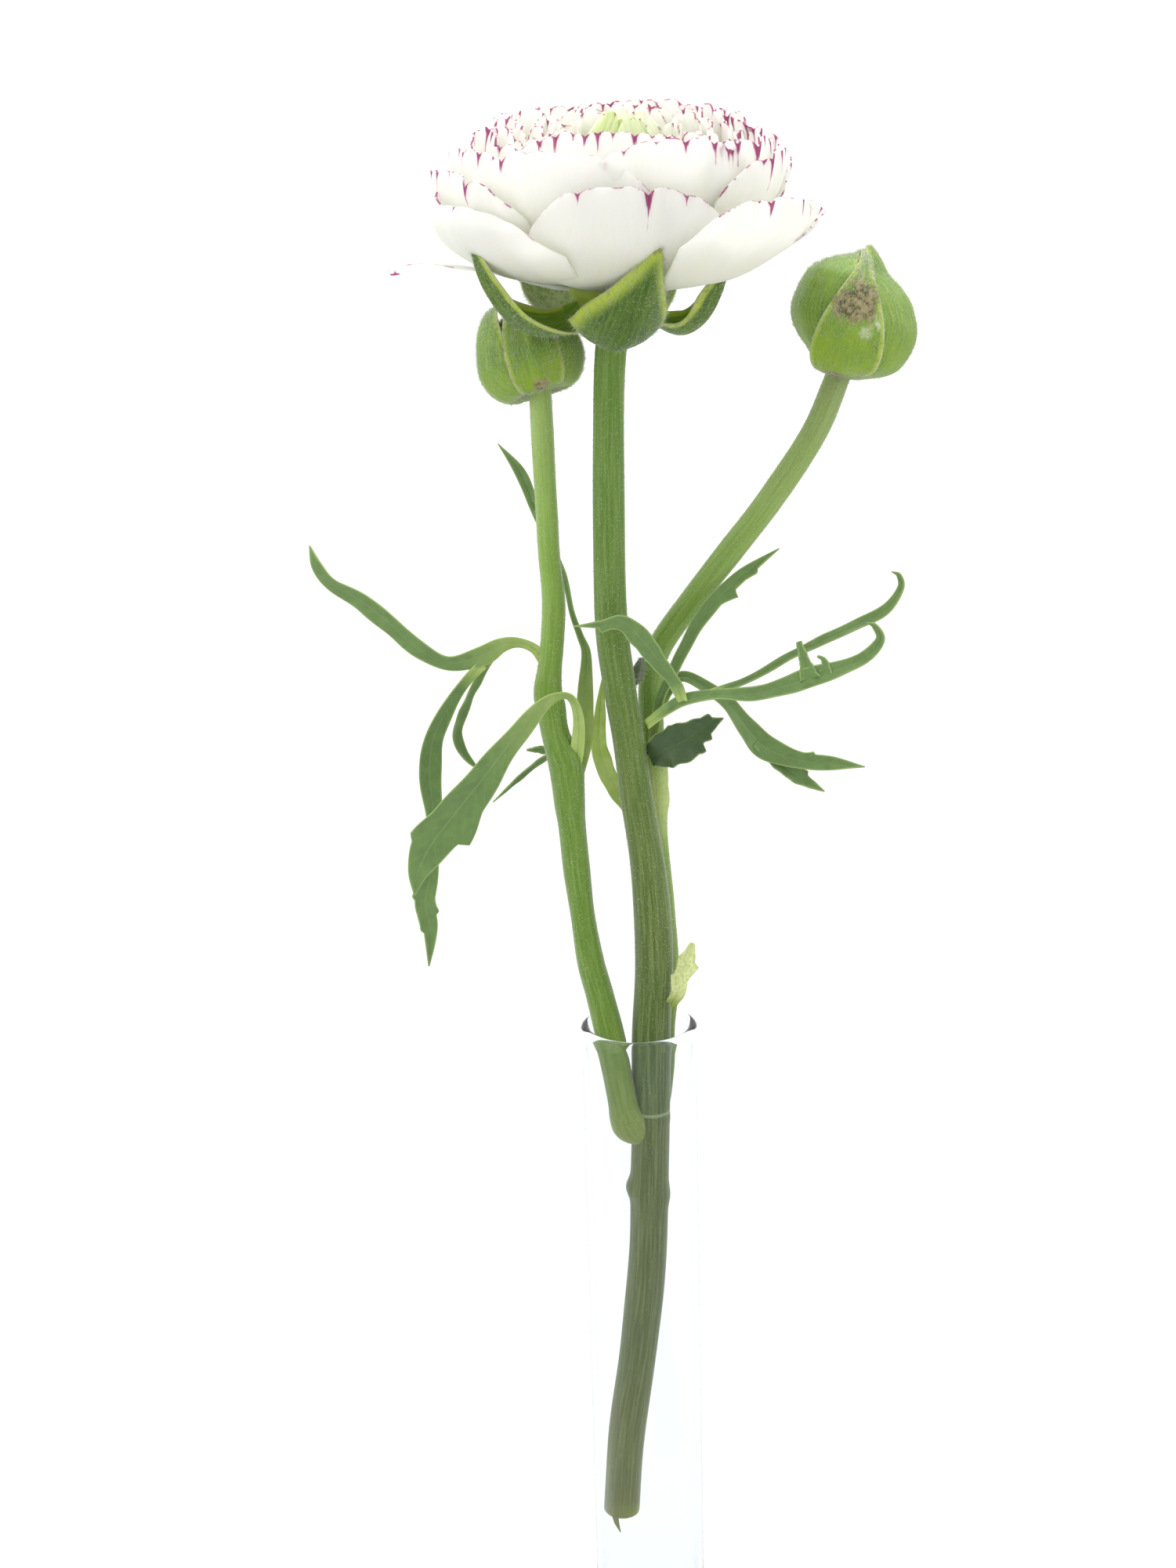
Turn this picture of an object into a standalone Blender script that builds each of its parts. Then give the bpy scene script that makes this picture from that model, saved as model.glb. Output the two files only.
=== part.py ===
"""Ranunculus flower with two buds and divided leaves, standing in a slim glass tube vase.

Metres, +Z up; the origin is the centre of the vase's flat base. Routes and profiles below
are written in millimetres and scaled by MM. Neighbouring solids keep a small gap.
"""

import math

import bmesh
import bpy
from mathutils import Vector

MM = 0.001
GAP = 0.3

# Vase: a straight glass tube with a thick flat base and a fire-rounded rim (mm).
VASE_HEIGHT = 120.0
VASE_RADIUS = 10.0
VASE_WALL = 1.0
VASE_FLOOR = 11.0
RIM_BEAD = 0.8
VASE_SEGMENTS = 40

# Stems: x, y, z and radius (mm), from the bottom up.
MAIN_STEM = (
    (-5.1, 0.6, 24.5, 3.4), (-3.8, 0.4, 40, 3.45), (-1.3, 0, 57.5, 3.4), (0.7, -0.4, 76, 3.4),
    (1.3, -0.7, 91, 3.4), (1.8, -0.8, 104, 3.4), (2.1, -0.8, 118, 3.35), (2.8, -0.6, 130, 3.3),
    (2.7, -0.4, 140, 3.2), (1.9, -0.2, 150, 3.0), (0.5, 0, 160, 2.8), (-0.7, 0, 170, 2.65),
    (-2.2, 0, 180, 2.6), (-3.4, 0, 192, 2.55), (-3.1, 0.2, 215, 2.5), (-2.5, 0.9, 230, 2.45),
    (-1.6, 1.3, 237.7, 2.4),
)
LEFT_STEM = (
    (-0.4, -1.4, 99, 2.0), (-2.2, -2.5, 104, 2.4), (-3.4, -2.4, 110, 2.6), (-4.8, -2.0, 118, 2.6),
    (-6.5, -1.5, 128, 2.55), (-8.8, -1.0, 140, 2.45), (-9.9, 0, 152, 2.35), (-11.0, 0.5, 165, 2.3),
    (-12.5, 1.0, 172, 2.15), (-13.9, 1.5, 179, 2.25), (-13.3, 2.0, 185.5, 2.0),
    (-12.7, 3.0, 193, 1.9), (-13.0, 3.6, 202, 1.85), (-13.5, 4.7, 215, 1.8), (-13.8, 6.0, 224.2, 1.75),
)
RIGHT_STEM = (
    (2.2, -0.2, 99.5, 1.3), (3.9, 2.6, 105, 1.6), (4.7, 3.7, 111, 1.6), (5.0, 3.9, 118, 1.5),
    (5.9, 5.0, 127, 1.7), (5.4, 5.5, 140, 1.8), (4.6, 6.0, 153, 1.9), (4.4, 6.5, 163, 2.3),
    (3.7, 7.0, 171, 2.1), (3.6, 7.0, 179, 2.1), (5.1, 7.5, 184.7, 2.1), (10.4, 8.0, 192, 2.15),
    (17.0, 8.0, 200.2, 2.2), (24.1, 8.0, 209.1, 2.2), (31.3, 8.0, 219.8, 2.2), (35.2, 8.0, 227.8, 2.0),
)
STEM_SPACING = 6.0

# The open flower: where its petals start, and the way it faces.
FLOWER_BASE = Vector((-1.2, 0.0, 243.4))
FLOWER_AXIS = Vector((0.035, -0.225, 0.97)).normalized()
PETAL_THICKNESS = 0.5
PETAL_STAGGER = 1.5
PETAL_OVERLAP = 0.69

# Petal whorls: name, count, first azimuth in degrees, and (radius, height) from base to tip (mm).
PETAL_WHORLS = (
    ("outer_petal", 8, -90.0, ((3.7, 0.5), (10, 1.5), (17, 4.0), (24, 8.8), (29.5, 14.5))),
    ("middle_petal", 8, -68.0, ((3.5, 3.0), (9, 4.2), (15.5, 7.4), (21.8, 12.8), (26.0, 20.0))),
    ("inner_petal", 6, -75.0, ((3.3, 5.5), (7.5, 6.9), (12.2, 10.4), (17.4, 17), (20, 25.2))),
)
DROOPING_PETAL = ((4.4, -1.2), (12, -0.2), (20, 0.8), (28, 1.4), (35, 1.1))
DROOPING_AZIMUTH = 176.0
RECEPTACLE = (
    (0, 8.0), (2.0, 7.6), (2.6, 5.5), (2.8, 1.0), (4.1, -1.1), (4.2, -2.5), (3.4, -4.2), (2.4, -4.9), (0, -4.9),
)
HEART = (
    (0, 23.4), (5.4, 23.6), (6.2, 26.0), (8.4, 27.2), (11.8, 26.0), (13.4, 21.0), (12.2, 15.0),
    (8.6, 10.6), (5.0, 8.5), (0, 8.4),
)
PISTILS = ((0, 26.6), (2.2, 26.3), (4.0, 25.3), (4.6, 24.1), (0, 23.9))

# Sepals of the open flower, bent back below it and hooked up again at the tips.
SEPALS = {  # azimuth in degrees, and reach beside the usual one
    "front": (-82.0, 1.0), "left": (-151.0, 0.97), "back_left": (136.0, 0.92),
    "back_right": (64.0, 0.95), "right": (-8.0, 0.78),
}
SEPAL_PROFILE = ((4.9, -2.2), (8.5, -5.8), (13.0, -6.2), (18.0, -2.8), (21.8, 2.2), (24.2, 6.2))
SEPAL_HALF_WIDTHS = (1.9, 4.4, 7.0, 6.6, 4.4, 0.9)
SEPAL_THICKNESS = 0.7
SEPAL_CUP = 1.3

# Buds: base point, axis, radius and height (mm).
BUDS = {
    "right_bud": (Vector((35.6, 8.0, 228.8)), Vector((0.18, 0.0, 1.0)).normalized(), 10.1, 20.4),
    "left_bud": (Vector((-14.0, 6.6, 225.2)), Vector((-0.34, 0.16, 1.0)).normalized(), 8.3, 13.6),
}
BUD_SEPALS = 5
BUD_THICKNESS = 0.6
BUD_STAGGER = 1.3
BUD_PROFILE = ((0.22, 0.02), (0.74, 0.10), (1.0, 0.42), (0.83, 0.75), (0.40, 0.95), (0.22, 0.985))
BUD_CORE = ((0, 0.90), (0.22, 0.86), (0.60, 0.68), (0.76, 0.42), (0.48, 0.24), (0.14, 0.16), (0.14, -0.02), (0, -0.02))

# Leaves: one or more lobes, each a route of x, y, z and half width (mm), and a twist in degrees
# that turns the blade from facing the front to lying flat.
LEAVES = {
    "left_forked_leaf": (
        (((-16.3, 2.2, 186.0, 0.8), (-18.5, 1, 187.3, 0.8), (-21.4, 0, 187.3, 0.9), (-25, 0, 185.7, 1.3),
          (-30.2, 1, 184.1, 1.3), (-35.1, 2, 186.3, 1.6), (-44.3, 5, 194.0, 1.7), (-49.4, 7, 196.2, 1.7),
          (-51.9, 8, 199.5, 1.4), (-53.3, 9, 203.2, 0.4)), 30),
        (((-26.4, 0.2, 185.2, 0.7), (-27.8, 1, 181.6, 0.9), (-30.0, 2, 177.6, 1.2), (-33.4, 3, 171.5, 1.7),
          (-34.6, 4, 165, 1.9), (-34.2, 4, 158, 1.6), (-35.6, 3, 150, 1.6), (-36.8, 3, 143, 1.7),
          (-36.2, 3, 137, 1.4), (-36.3, 3, 130.8, 0.4)), 35),
        (((-23.6, 0.3, 186.4, 0.6), (-25.6, 3, 181.4, 0.7), (-28.3, 5, 176, 0.8), (-29.9, 6.5, 170.8, 0.9),
          (-28.8, 7, 167, 0.8), (-26.3, 7, 164.2, 0.3)), 60),
    ),
    "left_front_leaf": (
        (((-9.0, -0.8, 170.3, 0.9), (-8.8, -2.8, 175.2, 0.9), (-10.7, -5, 179.0, 1.1), (-14.6, -7, 178.6, 1.8),
          (-19.4, -9, 173.0, 2.8), (-25.2, -11, 166.4, 3.8), (-31.4, -12, 160, 4.4), (-35.4, -13, 154.4, 3.2),
          (-36.6, -13, 148.4, 0.5)), 25),
    ),
    "left_rising_leaf": (
        (((-8.2, 3.4, 171.2, 1.5), (-7.6, 5, 178.1, 1.3), (-7.2, 6, 184, 0.9), (-8.3, 7, 187, 0.6),
          (-9.6, 7.4, 191, 0.5), (-10.8, 8.2, 197.2, 0.6), (-13.2, 9, 203, 0.6), (-15.5, 9, 209, 0.9),
          (-17.6, 9, 214.5, 0.9), (-21.1, 9, 219.2, 0.3)), 20),
    ),
    "left_low_leaf": (
        (((-10.4, 4.2, 168.9, 0.9), (-15, 7, 166.2, 0.8), (-19.2, 8, 162.8, 0.7), (-23.8, 8, 158.5, 0.3)), 45),
    ),
    "inner_leaf": (
        (((-3.6, 5.2, 160.8, 1.6), (-5.2, 6.2, 165.4, 1.7), (-5.5, 7, 169.5, 1.4), (-4.9, 7.5, 175, 1.0),
          (-4.4, 8, 181, 0.4)), 15),
    ),
    "right_upper_leaf": (
        (((3.0, 2.7, 169.6, 0.8), (4.6, 2.2, 176.4, 0.8), (7.0, 2.4, 181, 1.0), (9.2, 3.0, 185.3, 1.3),
          (12.6, 3.4, 190.6, 1.6), (16.6, 4.2, 194.9, 1.8), (20.8, 5.2, 198.0, 1.3), (25.0, 6, 200.6, 0.4)), 35),
    ),
    "right_forked_leaf": (
        (((2.9, -0.7, 173.9, 0.8), (5.9, -2.2, 175.9, 0.9), (8.8, -4, 177.7, 1.0), (13.6, -5, 178.5, 0.9),
          (19.4, -6, 178.8, 1.1), (24.5, -7, 180.2, 1.4), (28.3, -8, 181.4, 1.9), (32.8, -8, 182.7, 1.3),
          (37.9, -8, 184.4, 0.9), (40.4, -8, 187, 0.8), (38.6, -7, 189.6, 0.3)), 40),
        (((8.4, -3.8, 177.2, 0.8), (7.0, -5, 180.7, 1.2), (4.0, -6.2, 184.8, 1.5), (0.9, -7, 188.7, 1.7),
          (-1.9, -7, 191.8, 1.5), (-5.2, -7, 191.6, 0.8), (-9.3, -6.2, 190.9, 0.3)), 30),
        (((12.2, -4.8, 178.4, 0.6), (15.8, -2.6, 179.2, 0.7), (20.6, -0.4, 180.6, 0.7), (26.2, 1.6, 183.2, 0.8),
          (32.3, 3, 185.8, 0.9), (38.5, 4, 188.2, 1.0), (42.9, 4, 190.4, 0.9), (45.1, 4, 193.4, 0.8),
          (44.2, 4, 196.6, 0.3)), 50),
    ),
    "right_back_leaf": (
        (((6.0, 9.8, 175.4, 0.8), (8.4, 9.6, 179.2, 0.9), (12.6, 9.4, 177.3, 1.2), (16.8, 9.6, 173.9, 1.3),
          (20, 10, 169.4, 1.6), (23.8, 10, 165.6, 1.8), (30.3, 10, 163.4, 1.4), (35.2, 10, 162.9, 1.0),
          (40.2, 10, 162.3, 0.3)), 35),
        (((22.6, 10, 166.6, 0.9), (26.4, 10.2, 162.4, 1.1), (29.6, 10.2, 160.2, 1.2), (33.2, 10, 158.1, 0.4)), 35),
    ),
    "right_dark_leaf": (
        (((3.3, 0.4, 167.6, 1.5), (5.8, -0.4, 168.6, 3.0), (9.0, -1, 170.2, 2.6), (12, -0.8, 172, 1.6),
          (15, 0, 173.4, 0.4)), 10),
    ),
}
LEAF_THICKNESS = 0.8
LEAF_SPACING = 4.2

STEM_BRACT = (
    (6.2, -4.2, 125.6, 1.0), (7.2, -3.8, 128.6, 1.3), (8.4, -3.3, 131.6, 1.4), (9.5, -2.9, 134.7, 0.4),
)
YOUNG_BUD = (
    (1.7, 3.6, 171.5, 0.7), (1.6, 3.7, 177.2, 0.7), (1.5, 3.7, 179, 1.1), (1.4, 3.7, 181, 1.35),
    (1.3, 3.7, 183, 1.0), (1.2, 3.7, 184.3, 0.5),
)


def clear_scene():
    for obj in list(bpy.data.objects):
        bpy.data.objects.remove(obj, do_unlink=True)


def make_collection(name):
    collection = bpy.data.collections.new(name)
    bpy.context.scene.collection.children.link(collection)
    return collection


def make_material(name, color, roughness, transmission=0.0):
    material = bpy.data.materials.new(name)
    material.use_nodes = True
    shader = material.node_tree.nodes["Principled BSDF"]
    shader.inputs["Base Color"].default_value = (*color, 1.0)
    shader.inputs["Roughness"].default_value = roughness
    shader.inputs["Metallic"].default_value = 0.0
    shader.inputs["Transmission Weight"].default_value = transmission
    material.diffuse_color = (*color, 1.0)
    return material


def link_object(name, data, collection, material=None):
    obj = bpy.data.objects.new(name, data)
    collection.objects.link(obj)
    if material:
        data.materials.append(material)
    return obj


def hide_guide(obj):
    obj.hide_render = True
    obj.display_type = "WIRE"


def curve_point(controls, index, t):
    """Catmull-Rom point between controls[index] and the next one."""
    last = len(controls) - 1
    p0, p1 = controls[max(index - 1, 0)], controls[index]
    p2, p3 = controls[min(index + 1, last)], controls[min(index + 2, last)]
    return 0.5 * (2 * p1 + (p2 - p0) * t + (2 * p0 - 5 * p1 + 4 * p2 - p3) * t ** 2
                  + (3 * p1 - p0 - 3 * p2 + p3) * t ** 3)


def smooth_route(points, spacing):
    """Evenly spaced points, with their widths, along a smooth curve through the given ones."""
    controls = [Vector(p) for p in points]
    dense = [curve_point(controls, i, s / 12) for i in range(len(controls) - 1) for s in range(12)]
    dense.append(controls[-1])
    reach = [0.0]
    for a, b in zip(dense, dense[1:]):
        reach.append(reach[-1] + (b - a).length)
    steps = max(3, round(reach[-1] / spacing))
    route, k = [], 0
    for step in range(steps + 1):
        wanted = reach[-1] * step / steps
        while k < len(dense) - 2 and reach[k + 1] < wanted:
            k += 1
        t = (wanted - reach[k]) / (reach[k + 1] - reach[k])
        route.append(dense[k].lerp(dense[k + 1], t))
    return route


def read_route(route, u):
    """The route's point at u, from 0 at its start to 1 at its end."""
    at = u * (len(route) - 1)
    k = min(int(at), len(route) - 2)
    return route[k].lerp(route[k + 1], at - k)


def ease(t):
    t = min(max(t, 0.0), 1.0)
    return t * t * (3 - 2 * t)


def tube_curve(name, points, spacing, collection, material, widen=0.0):
    """A capped round tube of changing radius along a smooth route."""
    curve = bpy.data.curves.new(name, "CURVE")
    curve.dimensions = "3D"
    curve.bevel_depth = MM
    curve.bevel_resolution = 2
    curve.use_fill_caps = True
    route = smooth_route(points, spacing)
    spline = curve.splines.new("POLY")
    spline.points.add(len(route) - 1)
    for point, place in zip(spline.points, route):
        point.co = (*(place.xyz * MM), 1.0)
        point.radius = place.w + widen
    spline.use_smooth = True
    return link_object(name, curve, collection, material)


def as_mesh(curve_object, collection, material):
    """The curve object as a closed mesh with its caps welded on."""
    graph = bpy.context.evaluated_depsgraph_get()
    mesh = bpy.data.meshes.new_from_object(curve_object.evaluated_get(graph))
    name = curve_object.name
    curve_object.name = name + "_curve"
    bm = bmesh.new()
    bm.from_mesh(mesh)
    bmesh.ops.remove_doubles(bm, verts=bm.verts, dist=0.01 * MM)
    bm.to_mesh(mesh)
    bm.free()
    mesh.materials.clear()
    obj = link_object(name, mesh, collection, material)
    obj.matrix_world = curve_object.matrix_world
    bpy.data.objects.remove(curve_object)
    return obj


def add_boolean(obj, other, operation):
    modifier = obj.modifiers.new(operation.lower(), "BOOLEAN")
    modifier.object = other
    modifier.operation = operation


def turned_solid(name, profile, scale, segments, collection, material):
    """A solid of revolution about its own Z axis, from (radius, height) running down the outside."""
    mesh = bpy.data.meshes.new(name)
    points = [(r * scale[0], 0.0, h * scale[1]) for r, h in profile]
    mesh.from_pydata(points, [(i, i + 1) for i in range(len(points) - 1)], [])
    obj = link_object(name, mesh, collection, material)
    screw = obj.modifiers.new("turn", "SCREW")
    screw.steps = segments
    screw.render_steps = segments
    screw.use_merge_vertices = True
    screw.merge_threshold = 0.00001
    screw.use_smooth_shade = True
    return obj


def stand_on_axis(obj, base, axis):
    obj.location = base * MM
    obj.rotation_mode = "QUATERNION"
    obj.rotation_quaternion = axis_turn(axis)


def axis_turn(axis):
    return Vector((0, 0, 1)).rotation_difference(axis)


def sheet(name, place, along, across, thickness, collection, material):
    """A thin shell: place(u, v) puts a flat grid, u 0 to 1 and v -1 to 1, in space (mm)."""
    bm = bmesh.new()
    bmesh.ops.create_grid(bm, x_segments=along, y_segments=across, size=0.5)
    for vert in bm.verts:
        vert.co = place(vert.co.x + 0.5, vert.co.y * 2) * MM
    for face in bm.faces:
        face.smooth = True
    mesh = bpy.data.meshes.new(name)
    bm.to_mesh(mesh)
    bm.free()
    obj = link_object(name, mesh, collection, material)
    shell = obj.modifiers.new("thickness", "SOLIDIFY")
    shell.thickness = thickness * MM
    shell.offset = 0.0
    shell.use_even_offset = True
    return obj


def whorl_piece(profile, azimuth, half_angle, lift):
    """Place for a petal or sepal: a patch of a turned surface about the flower's own axis.

    half_angle(u, r) is half of the patch's angle, and lift(u, v) its height off the surface.
    """
    route = smooth_route([(r, 0.0, h) for r, h in profile], 1.5)

    def place(u, v):
        here = read_route(route, u)
        step = read_route(route, min(u + 0.02, 1.0)) - read_route(route, max(u - 0.02, 0.0))
        normal = Vector((-step.z, 0.0, step.x)).normalized()
        here = here + normal * lift(u, v)
        angle = math.radians(azimuth) + v * half_angle(u, here.x)
        return Vector((here.x * math.cos(angle), here.x * math.sin(angle), here.z))

    return place


def petal_place(profile, azimuth, count):
    """A petal of an overlapping whorl: narrow claw, broad blade, one side over its neighbour."""
    pitch = 2 * math.pi / count
    claw = 0.36 * pitch

    def half_angle(u, r):
        rounding = 1 - 0.4 * ease((u - 0.7) / 0.3) ** 2
        return (claw + (PETAL_OVERLAP * pitch - claw) * ease(u / 0.32)) * rounding

    def lift(u, v):
        return 0.5 * PETAL_STAGGER * v * ease(u / 0.16)

    return whorl_piece(profile, azimuth, half_angle, lift)


def make_vase(collection, material):
    inner = VASE_RADIUS - VASE_WALL
    bead = VASE_RADIUS - RIM_BEAD
    floor_curve = [(inner - 3 + 3 * math.sin(a), VASE_FLOOR + 3 - 3 * math.cos(a))
                   for a in (math.radians(d) for d in (0, 30, 60, 90))]
    rim = [(bead - RIM_BEAD * math.cos(a), VASE_HEIGHT - RIM_BEAD + RIM_BEAD * math.sin(a))
           for a in (math.radians(d) for d in range(-30, 181, 30))]
    foot = [(VASE_RADIUS - 1 + math.cos(a), 1 - math.sin(a))
            for a in (math.radians(d) for d in (0, 30, 60, 90))]
    profile = [(0, VASE_FLOOR)] + floor_curve + [(inner, VASE_HEIGHT - 3)] + rim + foot + [(0, 0)]
    turned_solid("vase", profile, (MM, MM), VASE_SEGMENTS, collection, material)


def make_stems(collection, cutters, material):
    tube_curve("main_stem", MAIN_STEM, STEM_SPACING, collection, material)
    clearance = tube_curve("main_stem_clearance", MAIN_STEM, STEM_SPACING, cutters, None, widen=GAP)
    clearance = as_mesh(clearance, cutters, None)
    hide_guide(clearance)
    for name, route in (("left_stem", LEFT_STEM), ("right_stem", RIGHT_STEM)):
        curve = tube_curve(name, route, STEM_SPACING, collection, material)
        stem = as_mesh(curve, collection, material)
        add_boolean(stem, clearance, "DIFFERENCE")


def make_flower(collection, looks):
    pieces = [
        turned_solid("receptacle", RECEPTACLE, (MM, MM), 20, collection, looks["sepal"]),
        turned_solid("petal_heart", HEART, (MM, MM), 24, collection, looks["petal"]),
        turned_solid("pistil_centre", PISTILS, (MM, MM), 16, collection, looks["pistil"]),
    ]
    for name, count, start, profile in PETAL_WHORLS:
        for i in range(count):
            place = petal_place(profile, start + 360 * i / count, count)
            pieces.append(sheet(f"{name}_{i + 1}", place, 7, 5, PETAL_THICKNESS, collection, looks["petal"]))
    pieces.append(make_drooping_petal(collection, looks["petal"]))
    for side, (azimuth, reach) in SEPALS.items():
        pieces.append(make_sepal(f"flower_sepal_{side}", azimuth, reach, collection, looks["sepal"]))
    for piece in pieces:
        stand_on_axis(piece, FLOWER_BASE, FLOWER_AXIS)


def make_drooping_petal(collection, material):
    def half_angle(u, r):
        return (1.2 + 4.6 * ease(u / 0.7) - 1.5 * ease((u - 0.8) / 0.2)) / r

    place = whorl_piece(DROOPING_PETAL, DROOPING_AZIMUTH, half_angle, lambda u, v: -0.8 * v * v * u)
    return sheet("drooping_petal", place, 8, 4, PETAL_THICKNESS, collection, material)


def make_sepal(name, azimuth, reach, collection, material):
    start = Vector(SEPAL_PROFILE[0])
    profile = [start.lerp(Vector(point), reach) for point in SEPAL_PROFILE]
    widths = [Vector((w, 0.0)) for w in SEPAL_HALF_WIDTHS]

    def half_angle(u, r):
        return read_route(widths, u).x / r

    def lift(u, v):
        return SEPAL_CUP * v * v * math.sin(math.pi * u)

    place = whorl_piece(profile, azimuth, half_angle, lift)
    return sheet(name, place, 8, 4, SEPAL_THICKNESS, collection, material)


def make_bud(name, base, axis, radius, height, collection, looks):
    """A closed bud: a ball of furled petals inside overlapping sepals."""
    scale = (radius * MM, height * MM)
    core = turned_solid(f"{name}_petals", BUD_CORE, scale, 16, collection, looks["petal"])
    stand_on_axis(core, base, axis)
    profile = [(r * radius, h * height) for r, h in BUD_PROFILE]
    pitch = 2 * math.pi / BUD_SEPALS

    def half_angle(u, r):
        rounding = 1 - 0.35 * ease((u - 0.55) / 0.45)
        return (0.40 * pitch + 0.23 * pitch * ease(u / 0.25)) * rounding

    def lift(u, v):
        return -0.5 * BUD_STAGGER * v * ease(u / 0.14)

    for i in range(BUD_SEPALS):
        place = whorl_piece(profile, 20 + 360 * i / BUD_SEPALS, half_angle, lift)
        sepal = sheet(f"{name}_sepal_{i + 1}", place, 8, 5, BUD_THICKNESS, collection, looks["sepal"])
        stand_on_axis(sepal, base, axis)


def lobe_place(route, twist):
    """Place for a leaf lobe: a ribbon with a shallow fold along its midrib."""
    def place(u, v):
        here = read_route(route, u)
        along = (read_route(route, min(u + 0.03, 1.0)) - read_route(route, max(u - 0.03, 0.0))).xyz
        facing = along.cross(Vector((0, 1, 0))).normalized()
        turn = math.radians(twist)
        across = facing * math.cos(turn) + Vector((0, 1, 0)) * math.sin(turn)
        fold = along.cross(across).normalized() * (0.25 * here.w * abs(v))
        return here.xyz + across * (here.w * v) + fold

    return place


def make_leaf(name, lobes, collection, cutters, material):
    """A leaf of one or more lobes, joined into one solid where they fork."""
    leaf = None
    for i, (points, twist) in enumerate(lobes):
        route = smooth_route(points, LEAF_SPACING)
        home = collection if i == 0 else cutters
        label = name if i == 0 else f"{name}_lobe_{i + 1}"
        lobe = sheet(label, lobe_place(route, twist), len(route) - 1, 2, LEAF_THICKNESS, home, material)
        if i == 0:
            leaf = lobe
        else:
            hide_guide(lobe)
            add_boolean(leaf, lobe, "UNION")


def main():
    clear_scene()
    collection = make_collection("ranunculus_in_tube_vase")
    cutters = make_collection("cutters")
    looks = {
        "glass": make_material("clear_glass", (0.90, 0.96, 0.95), 0.03, transmission=1.0),
        "stem": make_material("stem_green", (0.25, 0.38, 0.09), 0.5),
        "petal": make_material("petal_white", (0.88, 0.86, 0.76), 0.45),
        "pistil": make_material("pistil_green", (0.42, 0.52, 0.16), 0.5),
        "sepal": make_material("sepal_green", (0.20, 0.33, 0.07), 0.5),
        "leaf": make_material("leaf_green", (0.08, 0.17, 0.06), 0.45),
        "bract": make_material("bract_yellow_green", (0.50, 0.58, 0.22), 0.5),
        "wool": make_material("young_bud_grey_green", (0.55, 0.60, 0.45), 0.8),
    }
    make_vase(collection, looks["glass"])
    make_stems(collection, cutters, looks["stem"])
    make_flower(collection, looks)
    for name, (base, axis, radius, height) in BUDS.items():
        make_bud(name, base, axis, radius, height, collection, looks)
    for name, lobes in LEAVES.items():
        make_leaf(name, lobes, collection, cutters, looks["leaf"])
    make_leaf("stem_bract", ((STEM_BRACT, 25),), collection, cutters, looks["bract"])
    tube_curve("young_bud", YOUNG_BUD, 2.0, collection, looks["wool"])


main()
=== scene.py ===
"""Looks of the ranunculus in its glass tube vase: visible pieces, materials, light and camera.

Lengths in the tables are millimetres, in the same frame as the CAD model, and are scaled by MM.
"""

import math

import bpy
import numpy as np
from mathutils import Matrix, Vector


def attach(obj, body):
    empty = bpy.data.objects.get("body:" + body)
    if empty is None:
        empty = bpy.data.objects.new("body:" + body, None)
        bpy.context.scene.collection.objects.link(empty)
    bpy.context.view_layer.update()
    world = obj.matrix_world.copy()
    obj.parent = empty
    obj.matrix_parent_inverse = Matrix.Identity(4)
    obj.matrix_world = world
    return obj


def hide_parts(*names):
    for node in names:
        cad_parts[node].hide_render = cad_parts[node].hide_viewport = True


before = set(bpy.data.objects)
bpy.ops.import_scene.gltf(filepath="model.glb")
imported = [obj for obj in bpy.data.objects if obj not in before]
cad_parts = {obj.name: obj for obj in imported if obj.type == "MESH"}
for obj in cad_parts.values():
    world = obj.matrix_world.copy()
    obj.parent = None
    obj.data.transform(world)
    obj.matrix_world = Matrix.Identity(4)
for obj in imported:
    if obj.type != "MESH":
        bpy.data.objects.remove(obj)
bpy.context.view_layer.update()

MM = 0.001
ROOT = "root"

# ---------------------------------------------------------------- plain geometry


def ease(t):
    t = np.clip(t, 0.0, 1.0)
    return t * t * (3 - 2 * t)


def smooth_route(points, count, space=3):
    """count rows evenly spaced along a smooth curve through points; columns past space ride along."""
    p = np.array(points, float)
    p = np.vstack([2 * p[0] - p[1], p, 2 * p[-1] - p[-2]])
    t = np.linspace(0, 1, 16, endpoint=False)[:, None]
    parts = []
    for p0, p1, p2, p3 in zip(p, p[1:], p[2:], p[3:]):
        parts.append(0.5 * (2 * p1 + (p2 - p0) * t + (2 * p0 - 5 * p1 + 4 * p2 - p3) * t ** 2
                            + (3 * p1 - p0 - 3 * p2 + p3) * t ** 3))
    dense = np.vstack(parts + [p[-2:-1]])
    steps = np.linalg.norm(np.diff(dense[:, :space], axis=0), axis=1)
    reach = np.concatenate([[0], np.cumsum(steps)])
    at = np.linspace(0, reach[-1], count)
    return np.stack([np.interp(at, reach, column) for column in dense.T], axis=1)


def route_length(route, space=3):
    return float(np.linalg.norm(np.diff(route[:, :space], axis=0), axis=1).sum())


def unit(v):
    return v / np.maximum(np.linalg.norm(v, axis=-1, keepdims=True), 1e-9)


def grid_normals(points):
    return unit(np.cross(np.gradient(points, axis=0), np.gradient(points, axis=1)))


TUBE_SIDE = (0.31, 0.95, 0.02)  # any direction that no tube starts along
HAIR_CORNERS = (0, 2 * math.pi / 3, 4 * math.pi / 3)
HAIR_ROOT_DEPTH = 0.08


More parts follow.
